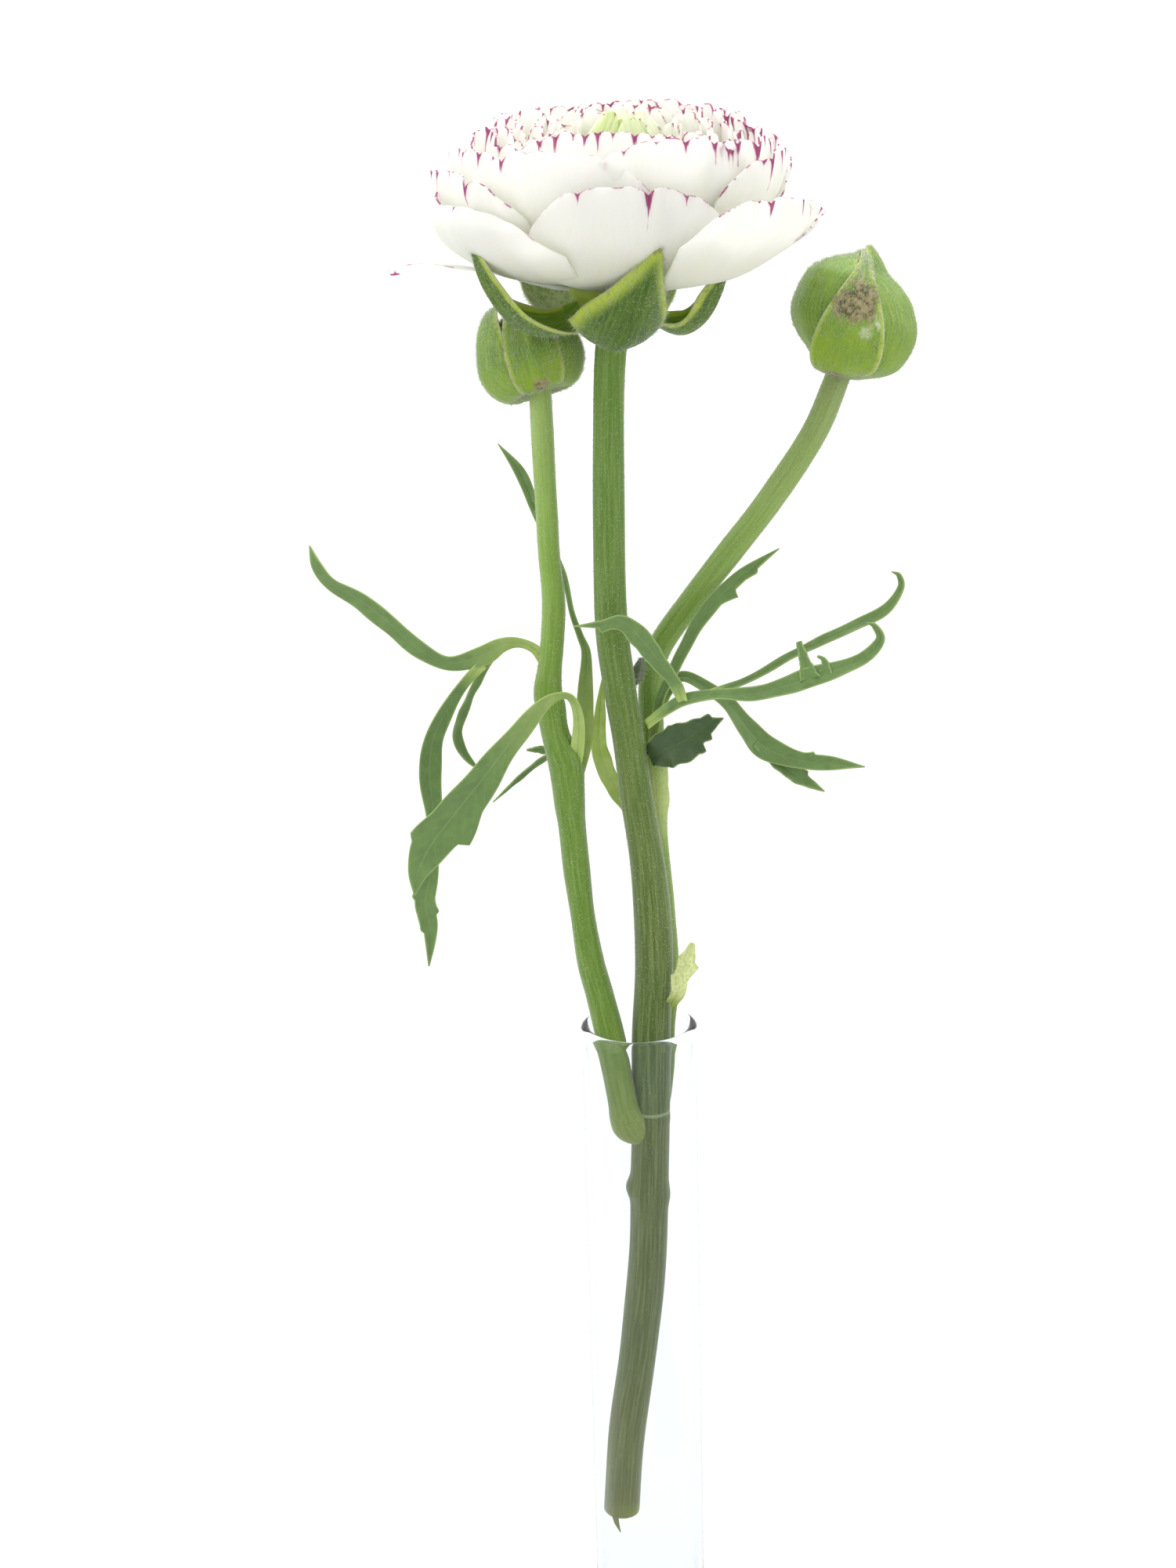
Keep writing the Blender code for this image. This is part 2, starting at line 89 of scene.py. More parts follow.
class Bits:
    """Collects the closed bodies of one piece, with their vertex data, and makes the object."""

    def __init__(self):
        self.verts, self.faces, self.data, self.count = [], [], [], 0

    def add(self, verts, faces, data):
        self.verts.append(verts)
        for block in faces:
            self.faces.extend((block + self.count).tolist())
        self.data.append({k: np.broadcast_to(np.asarray(v, float), (len(verts),)) for k, v in data.items()})
        self.count += len(verts)

    def shell(self, points, thickness, **data):
        """A thin closed body round a grid of points."""
        rows, cols = points.shape[:2]
        half = 0.5 * np.broadcast_to(thickness, (rows, cols))[..., None]
        normals = grid_normals(points)
        verts = np.concatenate([(points + push).reshape(-1, 3) for push in (normals * half, -normals * half)])
        n = rows * cols
        index = np.arange(n).reshape(rows, cols)
        corners = (index[:-1, :-1], index[1:, :-1], index[1:, 1:], index[:-1, 1:])
        top = np.stack([c.ravel() for c in corners], axis=1)
        loop = np.concatenate([index[0, :], index[1:, -1], index[-1, -2::-1], index[-2:0:-1, 0]])
        after = np.roll(loop, -1)
        side = np.stack([loop, after, after + n, loop + n], axis=1)
        flat = {k: np.tile(np.broadcast_to(v, (rows, cols)).ravel(), 2) for k, v in data.items()}
        flat["inner"] = np.repeat([1.0, 0.0], n)
        self.add(verts, (top, top[:, ::-1] + n, side), flat)

    def tube(self, route, sides, shape=None, **data):
        """A closed round body along a route of x, y, z, radius; shape scales the radius at each point."""
        n = len(route)
        tangent = unit(np.gradient(route[:, :3], axis=0))
        a = unit(np.cross(tangent[0], TUBE_SIDE))
        frames = []
        for t in tangent:
            a = unit(a - t * np.dot(a, t))
            frames.append((a, np.cross(t, a)))
        frames = np.array(frames)
        angle = np.linspace(0, 2 * np.pi, sides, endpoint=False)
        cos, sin = np.cos(angle)[None, :, None], np.sin(angle)[None, :, None]
        ring = cos * frames[:, None, 0] + sin * frames[:, None, 1]
        radius = np.repeat(route[:, 3:4], sides, axis=1)
        if shape is not None:
            radius = radius * shape(np.linspace(0, 1, n)[:, None], angle[None, :])
        points = route[:, None, :3] + ring * radius[..., None]
        along = np.linspace(0, route_length(route), n)
        verts = np.concatenate([points.reshape(-1, 3), route[:1, :3], route[-1:, :3]])
        index = np.arange(n * sides).reshape(n, sides)
        right = np.roll(index, -1, axis=1)
        wall = np.stack([index[:-1], right[:-1], right[1:], index[1:]], axis=-1).reshape(-1, 4)
        first = np.stack([np.full(sides, n * sides), right[0], index[0]], axis=1)
        last = np.stack([np.full(sides, n * sides + 1), index[-1], right[-1]], axis=1)
        ends = [0.0, 0.0]
        flat = {
            "turn_x": np.concatenate([(np.cos(angle)[None] * route[:, 3:4]).ravel(), ends]),
            "turn_y": np.concatenate([(np.sin(angle)[None] * route[:, 3:4]).ravel(), ends]),
            "along": np.concatenate([np.repeat(along, sides), [along[0], along[-1]]]),
        }
        for k, v in data.items():
            v = np.broadcast_to(v, (n, sides))
            flat[k] = np.concatenate([v.ravel(), [v[0, 0], v[-1, 0]]])
        self.add(verts, (wall, first, last), flat)
        return points, unit(ring)

    def hairs(self, roots, lean, length, radius, rng):
        """Closed tapering spikes from each root, leaning along lean."""
        n = len(roots)
        lean = unit(lean + rng.normal(0, 0.28, (n, 3)))
        a = unit(np.cross(lean, rng.normal(0, 1, (n, 3))))
        b = np.cross(lean, a)
        size = length * rng.uniform(0.45, 1.1, (n, 1))
        ring = [roots + radius * (math.cos(t) * a + math.sin(t) * b) - HAIR_ROOT_DEPTH * lean
                for t in HAIR_CORNERS]
        bend = rng.normal(0, 0.16, (n, 3))
        middle = [roots + 0.6 * radius * (math.cos(t) * a + math.sin(t) * b) + size * 0.55 * lean
                  for t in HAIR_CORNERS]
        tip = roots + size * (lean + bend)
        verts = np.stack(ring + middle + [tip], axis=1).reshape(-1, 3)
        base = (np.arange(n) * 7)[:, None]
        quads = np.concatenate([base + np.array(q) for q in ((0, 1, 4, 3), (1, 2, 5, 4), (2, 0, 3, 5))])
        tris = np.concatenate([base + np.array(q) for q in ((2, 1, 0), (3, 4, 6), (4, 5, 6), (5, 3, 6))])
        self.add(verts, (quads, tris), {})

    def build(self, name, material, replaces=()):
        mesh = bpy.data.meshes.new(name)
        mesh.from_pydata((np.concatenate(self.verts) * MM).tolist(), [], self.faces)
        for key in sorted(set().union(*self.data)):
            values = np.concatenate([d.get(key, np.zeros(len(v))) for d, v in zip(self.data, self.verts)])
            layer = mesh.attributes.new(key, "FLOAT", "POINT")
            layer.data.foreach_set("value", values.astype(np.float32))
        mesh.shade_smooth()
        mesh.materials.append(material)
        mesh.update()
        obj = bpy.data.objects.new(name, mesh)
        bpy.context.scene.collection.objects.link(obj)
        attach(obj, ROOT)
        if replaces:
            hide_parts(*replaces)
        return obj


def scatter(points, normals, count, rng, keep=None):
    """Random places on a grid: roots and normals. keep(u, v) gives the chance that one stays."""
    rows, cols = points.shape[:2]
    i, j = rng.uniform(0, rows - 1.001, count), rng.uniform(0, cols - 1.001, count)
    if keep is not None:
        stay = rng.uniform(0, 1, count) < keep(i / (rows - 1), j / (cols - 1))
        i, j = i[stay], j[stay]
    a, b = i.astype(int), j.astype(int)
    s, t = (i - a)[:, None], (j - b)[:, None]

    def read(g):
        return ((1 - s) * (1 - t) * g[a, b] + s * (1 - t) * g[a + 1, b]
                + (1 - s) * t * g[a, b + 1] + s * t * g[a + 1, b + 1])

    return read(points), unit(read(normals))


# ---------------------------------------------------------------- material nodes

FLOOR_GLOW = (0.74, 0.95)  # near the object and towards the horizon


class Look:
    """A node material built by short calls; every call returns an output socket."""

    def __init__(self, name):
        self.material = bpy.data.materials.new(name)
        self.material.use_nodes = True
        self.tree = self.material.node_tree
        self.tree.nodes.clear()
        self.out = self.tree.nodes.new("ShaderNodeOutputMaterial")

    def node(self, kind, settings=(), **inputs):
        node = self.tree.nodes.new("ShaderNode" + kind)
        for key, value in dict(settings).items():
            setattr(node, key, value)
        for key, value in inputs.items():
            self.put(node.inputs[key.replace("_", " ")], value)
        return node

    def put(self, socket, value):
        if isinstance(value, bpy.types.NodeSocket):
            self.tree.links.new(value, socket)
        elif socket.type == "RGBA" and len(value) == 3:
            socket.default_value = (*value, 1.0)
        else:
            socket.default_value = value

    def attribute(self, name):
        return self.node("Attribute", {"attribute_name": name}).outputs["Fac"]

    def math(self, operation, a, b=0.0, clamp=False):
        node = self.node("Math", {"operation": operation, "use_clamp": clamp})
        self.put(node.inputs[0], a)
        self.put(node.inputs[1], b)
        return node.outputs[0]

    def times(self, a, b, clamp=False):
        return self.math("MULTIPLY", a, b, clamp)

    def plus(self, a, b, clamp=False):
        return self.math("ADD", a, b, clamp)

    def minus(self, a, b):
        return self.math("SUBTRACT", a, b)

    def larger(self, a, b):
        return self.math("MAXIMUM", a, b)

    def step(self, value, low, high, to_low=0.0, to_high=1.0):
        """Smooth step of value from low to high."""
        node = self.node("MapRange", {"interpolation_type": "SMOOTHSTEP"})
        keys = ("Value", "From Min", "From Max", "To Min", "To Max")
        for key, item in zip(keys, (value, low, high, to_low, to_high)):
            self.put(node.inputs[key], item)
        return node.outputs[0]

    def mix(self, factor, a, b):
        node = self.node("Mix", {"data_type": "RGBA"})
        self.put(node.inputs["Factor"], factor)
        self.put(node.inputs[6], a)
        self.put(node.inputs[7], b)
        return node.outputs[2]

    def vector(self, x, y, z):
        return self.node("CombineXYZ", X=x, Y=y, Z=z).outputs[0]

    def place(self):
        return self.node("TexCoord").outputs["Object"]

    def noise(self, vector, scale, detail=3.0, rough=0.55):
        node = self.node("TexNoise", Vector=vector, Scale=scale, Detail=detail, Roughness=rough)
        return node.outputs["Fac"]

    def ramp(self, factor, stops):
        node = self.node("ValToRGB")
        self.put(node.inputs[0], factor)
        elements = node.color_ramp.elements
        while len(elements) < len(stops):
            elements.new(0.5)
        for element, (at, color) in zip(elements, stops):
            element.position = at
            element.color = (*color, 1.0)
        return node.outputs[0]

    def height(self):
        return self.node("SeparateXYZ", Vector=self.place()).outputs["Z"]

    def bump(self, height, strength, distance):
        return self.node("Bump", Strength=strength, Distance=distance, Height=height).outputs[0]

    def finish(self, color, normal, roughness, glow=0.0, sheen=0.0, specular=0.5):
        """The surface shader, with a translucent share for thin tissue."""
        shader = self.node("BsdfPrincipled", Base_Color=color, Roughness=roughness)
        shader.inputs["Specular IOR Level"].default_value = specular
        shader.inputs["Sheen Weight"].default_value = sheen
        shader.inputs["Sheen Roughness"].default_value = 0.4
        if normal is not None:
            self.put(shader.inputs["Normal"], normal)
        surface = shader.outputs[0]
        if glow:
            thin = self.node("BsdfTranslucent")
            self.put(thin.inputs["Color"], color)
            if normal is not None:
                self.put(thin.inputs["Normal"], normal)
            both = self.node("MixShader")
            both.inputs[0].default_value = glow
            self.put(both.inputs[1], surface)
            self.put(both.inputs[2], thin.outputs[0])
            surface = both.outputs[0]
        self.put(self.out.inputs["Surface"], surface)
        return self.material


def petal_look():
    """White tissue with fine veins, a cream glow low down, painted shade in grey-green towards the base, and
    purple picotee edges and wedges.
    """
    k = Look("petal_white_purple_edge")
    edge, across, along = k.attribute("edge"), k.attribute("across"), k.attribute("along")
    cleft, wedge, dye = k.attribute("cleft"), k.attribute("wedge"), k.attribute("dye")
    fine = k.noise(k.vector(k.times(across, 3.2), k.times(along, 0.35), dye), 1.0, 3.0)
    coarse = k.noise(k.vector(k.times(across, 0.45), k.times(along, 0.3), dye), 1.0, 2.0)
    veins = k.step(fine, 0.36, 0.62)
    body = k.mix(veins, (0.972, 0.978, 0.952), (0.99, 0.99, 0.98))
    # painted shade: the low attribute greys the petal towards its base
    body = k.mix(k.times(k.attribute("low"), 0.85), body, (0.80, 0.85, 0.78))
    cream = k.times(k.attribute("cream"), k.step(coarse, 0.3, 0.65, 0.35, 1.0))
    body = k.mix(cream, body, (0.985, 0.965, 0.76))
    body = k.mix(k.attribute("green"), body, k.mix(veins, (0.66, 0.78, 0.30), (0.84, 0.90, 0.54)))
    rag = k.times(k.minus(fine, 0.5), 0.9)
    breakup = k.noise(k.vector(k.times(across, 0.6), dye, edge), 1.0, 2.0)
    width = k.times(k.step(breakup, 0.46, 0.66), k.times(dye, 0.20))
    line = k.step(k.minus(k.plus(width, k.times(rag, 0.35)), edge), -0.03, 0.10)
    line = k.times(line, k.step(width, 0.0, 0.05))
    shrink = k.minus(1.0, k.math("DIVIDE", edge, k.larger(wedge, 0.05)))
    flare = k.times(k.math("POWER", k.larger(shrink, 0.0), 4.0), k.plus(0.16, k.times(wedge, 0.13)))
    half = k.plus(flare, k.times(shrink, 0.13))
    streak = k.step(k.minus(k.plus(half, rag), cleft), -0.06, 0.16)
    streak = k.times(streak, k.step(shrink, 0.0, 0.25))
    streak = k.times(streak, k.step(wedge, 0.1, 0.5))
    purple = k.mix(k.attribute("tint"), (0.33, 0.012, 0.15), (0.26, 0.09, 0.06))
    purple = k.mix(k.step(fine, 0.35, 0.7), purple, (0.55, 0.12, 0.32))
    stain = k.larger(line, streak)
    color = k.mix(k.times(stain, 0.93, True), body, purple)
    normal = k.bump(fine, 0.25, 0.0002)
    return k.finish(color, normal, 0.45, glow=0.6, specular=0.3)


def sepal_look(name, mid, bright, woolly, margin=2.8, rim_color=(0.58, 0.72, 0.08)):
    """Green bract tissue: parallel veins, felt outside, pale thin margins and brown dying patches; brown lines
    along bud sepal margins are painted shade, pale patches are painted light and the inner face is partly
    painted backlight.
    """
    k = Look(name)
    edge, across, along = k.attribute("edge"), k.attribute("across"), k.attribute("along")
    inner, brown_and_shade = k.attribute("inner"), k.attribute("brown")
    lines = k.noise(k.vector(k.times(across, 2.6), k.times(along, 0.22), inner), 1.0, 3.0)
    patch = k.noise(k.place(), 260.0, 4.0)
    speck = k.noise(k.place(), 1100.0, 4.0, 0.65)
    felt = k.noise(k.vector(k.times(across, 4.5), k.times(along, 1.4), patch), 1.6, 5.0, 0.7)
    body = k.mix(k.step(lines, 0.30, 0.70), mid, bright)
    body = k.mix(k.step(patch, 0.42, 0.68, 0.0, 0.5), body, bright)
    warm = k.times(k.attribute("warm"), k.step(patch, 0.30, 0.62, 0.35, 1.0))
    body = k.mix(warm, body, (0.27, 0.43, 0.012))
    outside = k.mix(k.step(felt, 0.52, 0.74, 0.0, 0.40), body, woolly)
    # inner face colour: partly the sepal's own lighter green, partly painted backlight
    body = k.mix(inner, outside, k.mix(k.step(lines, 0.3, 0.7), (0.17, 0.33, 0.02), (0.31, 0.49, 0.04)))
    rim = k.plus(edge, k.times(k.minus(patch, 0.5), 0.8))
    body = k.mix(k.step(rim, margin, 0.4, 0.0, 0.85), body, rim_color)
    body = k.mix(k.step(rim, 0.26, 0.04, 0.0, 0.85), body, (0.66, 0.66, 0.38))
    # brown dying tissue, and along bud sepal margins thin dark lines that are painted shadow where sepals
    # overlap
    dying = k.step(k.plus(brown_and_shade, k.plus(k.times(k.minus(patch, 0.5), 1.5),
                  k.times(k.minus(speck, 0.5), 2.2))), 0.30, 0.80)
    rust_and_shade_tone = k.mix(k.step(speck, 0.38, 0.62), (0.085, 0.055, 0.03), (0.42, 0.33, 0.18))
    color = k.mix(k.times(dying, 0.9), body, rust_and_shade_tone)
    # painted light: pale patches stand in for backlight through thin sepals and for glints
    color = k.mix(k.step(k.times(k.attribute("pale"), k.plus(k.times(speck, 2.0), -0.2)), 0.35, 0.95),
                  color, (0.60, 0.68, 0.42))
    relief = k.plus(k.times(lines, 0.6), k.times(felt, 0.5))
    return k.finish(color, k.bump(relief, 0.45, 0.00025), 0.44, glow=0.20, sheen=0.10, specular=0.35)


def stem_look(name, stops, streak=(0.42, 0.52, 0.20), fleck=0.5, ring=None):
    """Stem skin: colours by height in millimetres, fine lengthwise ribs and pale flecks of down."""
    k = Look(name)
    low, high = stops[0][0], stops[-1][0]
    along = k.attribute("along")
    x, y = k.attribute("turn_x"), k.attribute("turn_y")
    ribs = k.noise(k.vector(x, y, k.times(along, 0.035)), 2.6, 4.0, 0.6)
    spots = k.noise(k.vector(x, y, k.times(along, 0.7)), 6.5, 3.0, 0.65)
    cloud = k.noise(k.place(), 70.0, 3.0)
    at = k.times(k.minus(k.height(), low * MM), 1.0 / ((high - low) * MM), True)
    wander = k.plus(at, k.times(k.minus(cloud, 0.5), 0.12), True)
    body = k.ramp(wander, [((z - low) / (high - low), color) for z, color in stops])
    body = k.mix(k.step(ribs, 0.42, 0.68, 0.0, 0.20), body, streak)
    body = k.mix(k.step(ribs, 0.48, 0.30, 0.0, 0.16), body, (0.045, 0.085, 0.018))
    body = k.mix(k.step(spots, 0.56, 0.72, 0.0, fleck), body, (0.52, 0.62, 0.36))
    if ring:
        gap = k.math("ABSOLUTE", k.minus(k.height(), ring * MM))
        body = k.mix(k.step(gap, 0.00045, 0.0001, 0.0, 0.6), body, (0.36, 0.46, 0.24))
    relief = k.plus(ribs, k.times(spots, 0.5))
    return k.finish(body, k.bump(relief, 0.4, 0.0003), 0.45, sheen=0.30, specular=0.3)


def leaf_look(name="leaf_green_tissue", top=(0.086, 0.156, 0.038), vein=(0.25, 0.36, 0.13)):
    """Leaf blade: pale midrib, slanting side veins, lighter margin, yellow-green near its stalk."""
    k = Look(name)
    side, along, half = k.attribute("side"), k.attribute("along"), k.attribute("half")
    across = k.math("ABSOLUTE", k.times(side, half))
    mottle = k.noise(k.place(), 420.0, 5.0, 0.62)
    cloud = k.noise(k.place(), 110.0, 2.0)
    slant = k.plus(k.times(along, 0.9), k.times(across, -1.5))
    comb = k.math("SINE", k.plus(k.times(slant, 2.6), k.times(cloud, 9.0)))
    body = k.mix(k.step(mottle, 0.34, 0.68), top, tuple(min(1.0, c * 1.45) for c in top))
    body = k.mix(k.step(cloud, 0.35, 0.66, 0.0, 0.30), body, tuple(1.6 * c for c in top))
    body = k.mix(k.step(comb, 0.72, 0.98, 0.0, 0.12), body, vein)
    body = k.mix(k.step(across, 0.26, 0.08, 0.0, 0.42), body, vein)
    rim = k.minus(half, across)
    body = k.mix(k.step(rim, 0.24, 0.04, 0.0, 0.7), body, (0.40, 0.52, 0.18))
    fresh = k.mix(k.step(mottle, 0.3, 0.7), (0.46, 0.62, 0.12), (0.62, 0.74, 0.24))
    body = k.mix(k.attribute("young"), body, fresh)
    body = k.mix(k.times(k.attribute("inner"), 0.24), body, tuple(2.2 * c + 0.07 for c in top))
    relief = k.plus(k.times(mottle, 0.5), k.times(k.step(across, 0.45, 0.1), 0.8))
    return k.finish(body, k.bump(relief, 0.4, 0.0002), 0.42, glow=0.12, specular=0.35)


def hair_look(name="white_plant_down", dark=(0.68, 0.76, 0.56), light=(0.93, 0.95, 0.88)):
    k = Look(name)
    tone = k.noise(k.place(), 900.0, 2.0)
    color = k.mix(tone, dark, light)
    return k.finish(color, None, 0.4, glow=0.45, specular=0.5)


def pistil_look():
    k = Look("pistil_green_knobs")
    grain = k.noise(k.place(), 1500.0, 3.0)
    color = k.mix(k.step(grain, 0.35, 0.65), (0.30, 0.40, 0.10), (0.56, 0.60, 0.26))
    return k.finish(color, k.bump(grain, 0.6, 0.0002), 0.5, sheen=0.2)


def glass_look():
    """Clear glass with a faint blue-green cast that deepens where it is seen on edge."""
    k = Look("clear_glass")
    facing = k.node("LayerWeight", Blend=0.28).outputs["Facing"]
    mark = k.noise(k.place(), 90.0, 3.0)
    cast = k.mix(k.step(facing, 0.28, 0.96), (0.950, 0.975, 0.990), (0.80, 0.87, 0.89))
    shader = k.node("BsdfPrincipled", Base_Color=cast, Roughness=k.step(mark, 0.6, 0.8, 0.0, 0.03))
    shader.inputs["Transmission Weight"].default_value = 1.0
    shader.inputs["IOR"].default_value = 1.30
    shader.inputs["Specular IOR Level"].default_value = 0.12
    k.put(k.out.inputs["Surface"], shader.outputs[0])
    return k.material


def floor_look():
    k = Look("white_floor")
    grain = k.noise(k.place(), 30.0, 2.0)
    color = k.mix(grain, (0.19, 0.19, 0.19), (0.21, 0.21, 0.21))
    shader = k.node("BsdfPrincipled", Base_Color=color, Roughness=0.9)
    shader.inputs["Specular IOR Level"].default_value = 0.1
    shader.inputs["Emission Color"].default_value = (1.0, 1.0, 1.0, 1.0)
    depth = k.node("SeparateXYZ", Vector=k.place()).outputs["Y"]
    k.put(shader.inputs["Emission Strength"], k.step(depth, 0.3, 2.5, *FLOOR_GLOW))
    k.put(k.out.inputs["Surface"], shader.outputs[0])
    return k.material


# ---------------------------------------------------------------- vase

VASE_RADIUS, VASE_WALL, VASE_HEIGHT, VASE_FLOOR, RIM_BEAD = 10.0, 1.0, 120.0, 4.5, 0.8
VASE_SIDES = 128


def arc(cx, cz, r, start, end, steps):
    return [(cx + r * math.cos(a), cz + r * math.sin(a))
            for a in np.radians(np.linspace(start, end, steps))]


def make_vase(glass):
    inner = VASE_RADIUS - VASE_WALL
    profile = [(0.0, VASE_FLOOR - 0.6), (2.5, VASE_FLOOR - 0.5)]
    profile += arc(inner - 3.2, VASE_FLOOR + 3.2, 3.2, -75, 0, 9)
    profile += [(inner, z) for z in np.linspace(VASE_FLOOR + 8, VASE_HEIGHT - 3.2, 24)]
    profile += arc(VASE_RADIUS - RIM_BEAD + 0.1, VASE_HEIGHT - RIM_BEAD, RIM_BEAD, 205, -35, 15)
    profile += [(VASE_RADIUS, z) for z in np.linspace(VASE_HEIGHT - 2.6, 4, 24)]
    profile += arc(VASE_RADIUS - 2.2, 2.2, 2.2, 0, -80, 9) + [(5.0, 0.0), (2.0, 0.5), (0.0, 0.6)]
    angles = np.linspace(0, 2 * np.pi, VASE_SIDES, endpoint=False)
    ring = np.array(profile[1:-1])
    points = np.stack([ring[:, :1] * np.cos(angles), ring[:, :1] * np.sin(angles),
                       np.repeat(ring[:, 1:], VASE_SIDES, axis=1)], axis=-1)
    n, last = len(ring), len(ring) * VASE_SIDES
    index = np.arange(last).reshape(n, VASE_SIDES)
    right = np.roll(index, -1, axis=1)
    wall = np.stack([index[1:], right[1:], right[:-1], index[:-1]], axis=-1).reshape(-1, 4)[:, ::-1]
    top = np.stack([np.full(VASE_SIDES, last), index[0], right[0]], axis=1)
    foot = np.stack([np.full(VASE_SIDES, last + 1), right[-1], index[-1]], axis=1)
    verts = np.concatenate([points.reshape(-1, 3), [(0, 0, profile[0][1]), (0, 0, profile[-1][1])]])
    bits = Bits()
    bits.add(verts, (wall[:, ::-1], top, foot), {})
    bits.build("vase_glass", glass, ("vase",))


# ---------------------------------------------------------------- stems

MAIN_STEM = (
    (-5.1, 0.6, 24.5, 3.4), (-3.8, 0.4, 40, 3.45), (-1.3, 0, 57.5, 3.4), (0.7, -0.4, 76, 3.4),
    (1.3, -0.7, 91, 3.4), (1.8, -0.8, 104, 3.4), (2.1, -0.8, 118, 3.35), (2.8, -0.6, 130, 3.3),
    (2.7, -0.4, 140, 3.2), (1.9, -0.2, 150, 3), (0.5, 0, 160, 2.8), (-0.7, 0, 170, 2.65),
    (-2.1, 0, 180, 2.7), (-3.2, 0, 192, 2.68), (-3, 0.2, 215, 2.6), (-2.5, 0.9, 230, 2.5),
    (-1.5, 1.3, 239.5, 2.5),
)
LEFT_STEM = (
    (1.4, -0.5, 99.9, 1.2), (-0.5, -1.6, 100.7, 2.5), (-1.8, -2.2, 102.2, 3.25), (-2.6, -2.6, 104.2, 2.95),
    (-3.1, -2.6, 106.4, 2.55), (-3.6, -2.5, 109.5, 2.5), (-4.9, -2, 117.5, 2.5), (-6.7, -1.5, 126, 2.45),
    (-8.1, -1.6, 132, 2.35), (-9.2, -1.5, 140.1, 2.1), (-10, -1.2, 147.9, 2.25), (-10.6, -0.8, 155.8, 2.35),
    (-10.9, -0.5, 159.5, 2.6), (-11.1, -0.2, 163.4, 2.8), (-11.4, 0, 166.6, 3), (-12.8, 0.3, 171, 2.45),
    (-13.5, 0.4, 174.9, 2.35), (-14, 0.6, 178.6, 2.4), (-13.6, 0.9, 182.4, 2.05), (-13.1, 1.2, 186.2, 1.95),
    (-12.6, 2.4, 193.5, 1.95), (-13.1, 3.2, 200.9, 1.85), (-13.3, 4, 208.1, 1.85),
    (-13.5, 4.7, 215.3, 1.85), (-13.8, 6.3, 228.6, 1.85),
)
RIGHT_STEM = (
    (2.2, -0.2, 99.5, 1.3), (3.9, 2.6, 105, 1.6), (4.7, 3.7, 111, 1.6), (5, 3.9, 118, 1.5),
    (5.8, 5, 127, 1.65), (5, 5.5, 140, 1.75), (4, 6, 153, 1.85), (3.8, 6.5, 163, 2.35), (3.4, 7, 171, 2.1),
    (3.5, 7, 179, 2.1), (5.1, 7.5, 184.7, 2.1), (10.4, 8, 192, 2.15), (17, 8, 200.2, 2.2),
    (24.1, 8, 209.1, 2.2), (31.3, 8, 219.8, 2.2), (35.4, 8, 229.4, 2.05),
)


CUT_HEIGHT = MAIN_STEM[0][2]
# Torn fibres of the cut end: x, y, how far each hangs below the cut, radius (mm).
CUT_FIBRES = ((-6.4, -0.8, 4.2, 0.7), (-6.9, -0.2, 2.2, 0.6), (-4.4, 0.8, 1.0, 0.7), (-7.4, 0.6, 0.9, 0.5))
STEM_SIDES, STEM_RIBS, RIB_DEPTH = 40, 6, 0.011
STEM_HAIR_RADIUS, DRY_ABOVE_RIM = 0.026, 6.0
# Stems: name, route, rows, lumps (place, angle, size, gain), number of hairs, hair length (mm).
STEMS = (
    ("main_stem", MAIN_STEM, 300,
     ((0.365, 1.9, 0.0035, 0.09), (0.297, 3.2, 0.009, 0.11), (0.303, 0.1, 0.008, 0.24)), 5200, 0.62),
    ("left_stem", LEFT_STEM, 220, ((0.60, 3.2, 0.014, 0.10),), 3600, 0.68),
    ("right_stem", RIGHT_STEM, 240, ((0.42, 1.2, 0.014, 0.16), (0.425, 3.6, 0.012, 0.16)), 4400, 0.7),
)


def rib_shape(rng, ribs, depth, lumps=()):
    """Radius factor round a stem: uneven lengthwise ribs, slow waves, and lumps (u, angle, size, gain)."""
    turns = rng.integers(2, 9, ribs)
    phases, drift = rng.uniform(0, 6.28, ribs), rng.uniform(-3, 3, ribs)
    gains = depth * rng.uniform(0.4, 1.0, ribs)

    def shape(u, angle):
        total = 1 + 0.012 * np.sin(23 * u + phases[0]) + 0.010 * np.sin(57 * u + phases[1])
        for n, phase, gain, slide in zip(turns, phases, gains, drift):
            total = total + gain * np.sin(n * angle + phase + slide * u)
        for at, where, size, gain in lumps:
            total = total + gain * np.exp(-((u - at) / size) ** 2) * (0.5 + 0.5 * np.cos(angle - where)) ** 2
        return total

    return shape


def make_stem(name, points, rows, lumps, hair_count, hair_length, material, rng, down):
    route = smooth_route(points, rows)
    bits = Bits()
    grid, out = bits.tube(route, STEM_SIDES, rib_shape(rng, STEM_RIBS, RIB_DEPTH, lumps))
    bits.build(name + "_skin", material, (name,))
    roots, normals = scatter(grid, out, hair_count, rng, lambda u, v: np.clip(0.25 + 1.1 * u, 0, 1))
    dry = roots[:, 2] > VASE_HEIGHT + DRY_ABOVE_RIM
    lean = 0.55 * normals[dry] + rng.normal(0, 0.55, (int(dry.sum()), 3)) + np.array([0, 0, 0.25])
    down.hairs(roots[dry], lean, hair_length, STEM_HAIR_RADIUS, rng)


def make_stems(looks, rng):
    down = Bits()
    for name, *rest in STEMS:
        make_stem(name, *rest, looks[name], rng, down)
    down.build("stem_down", looks["down"])
    make_cut_end(looks["main_stem"])


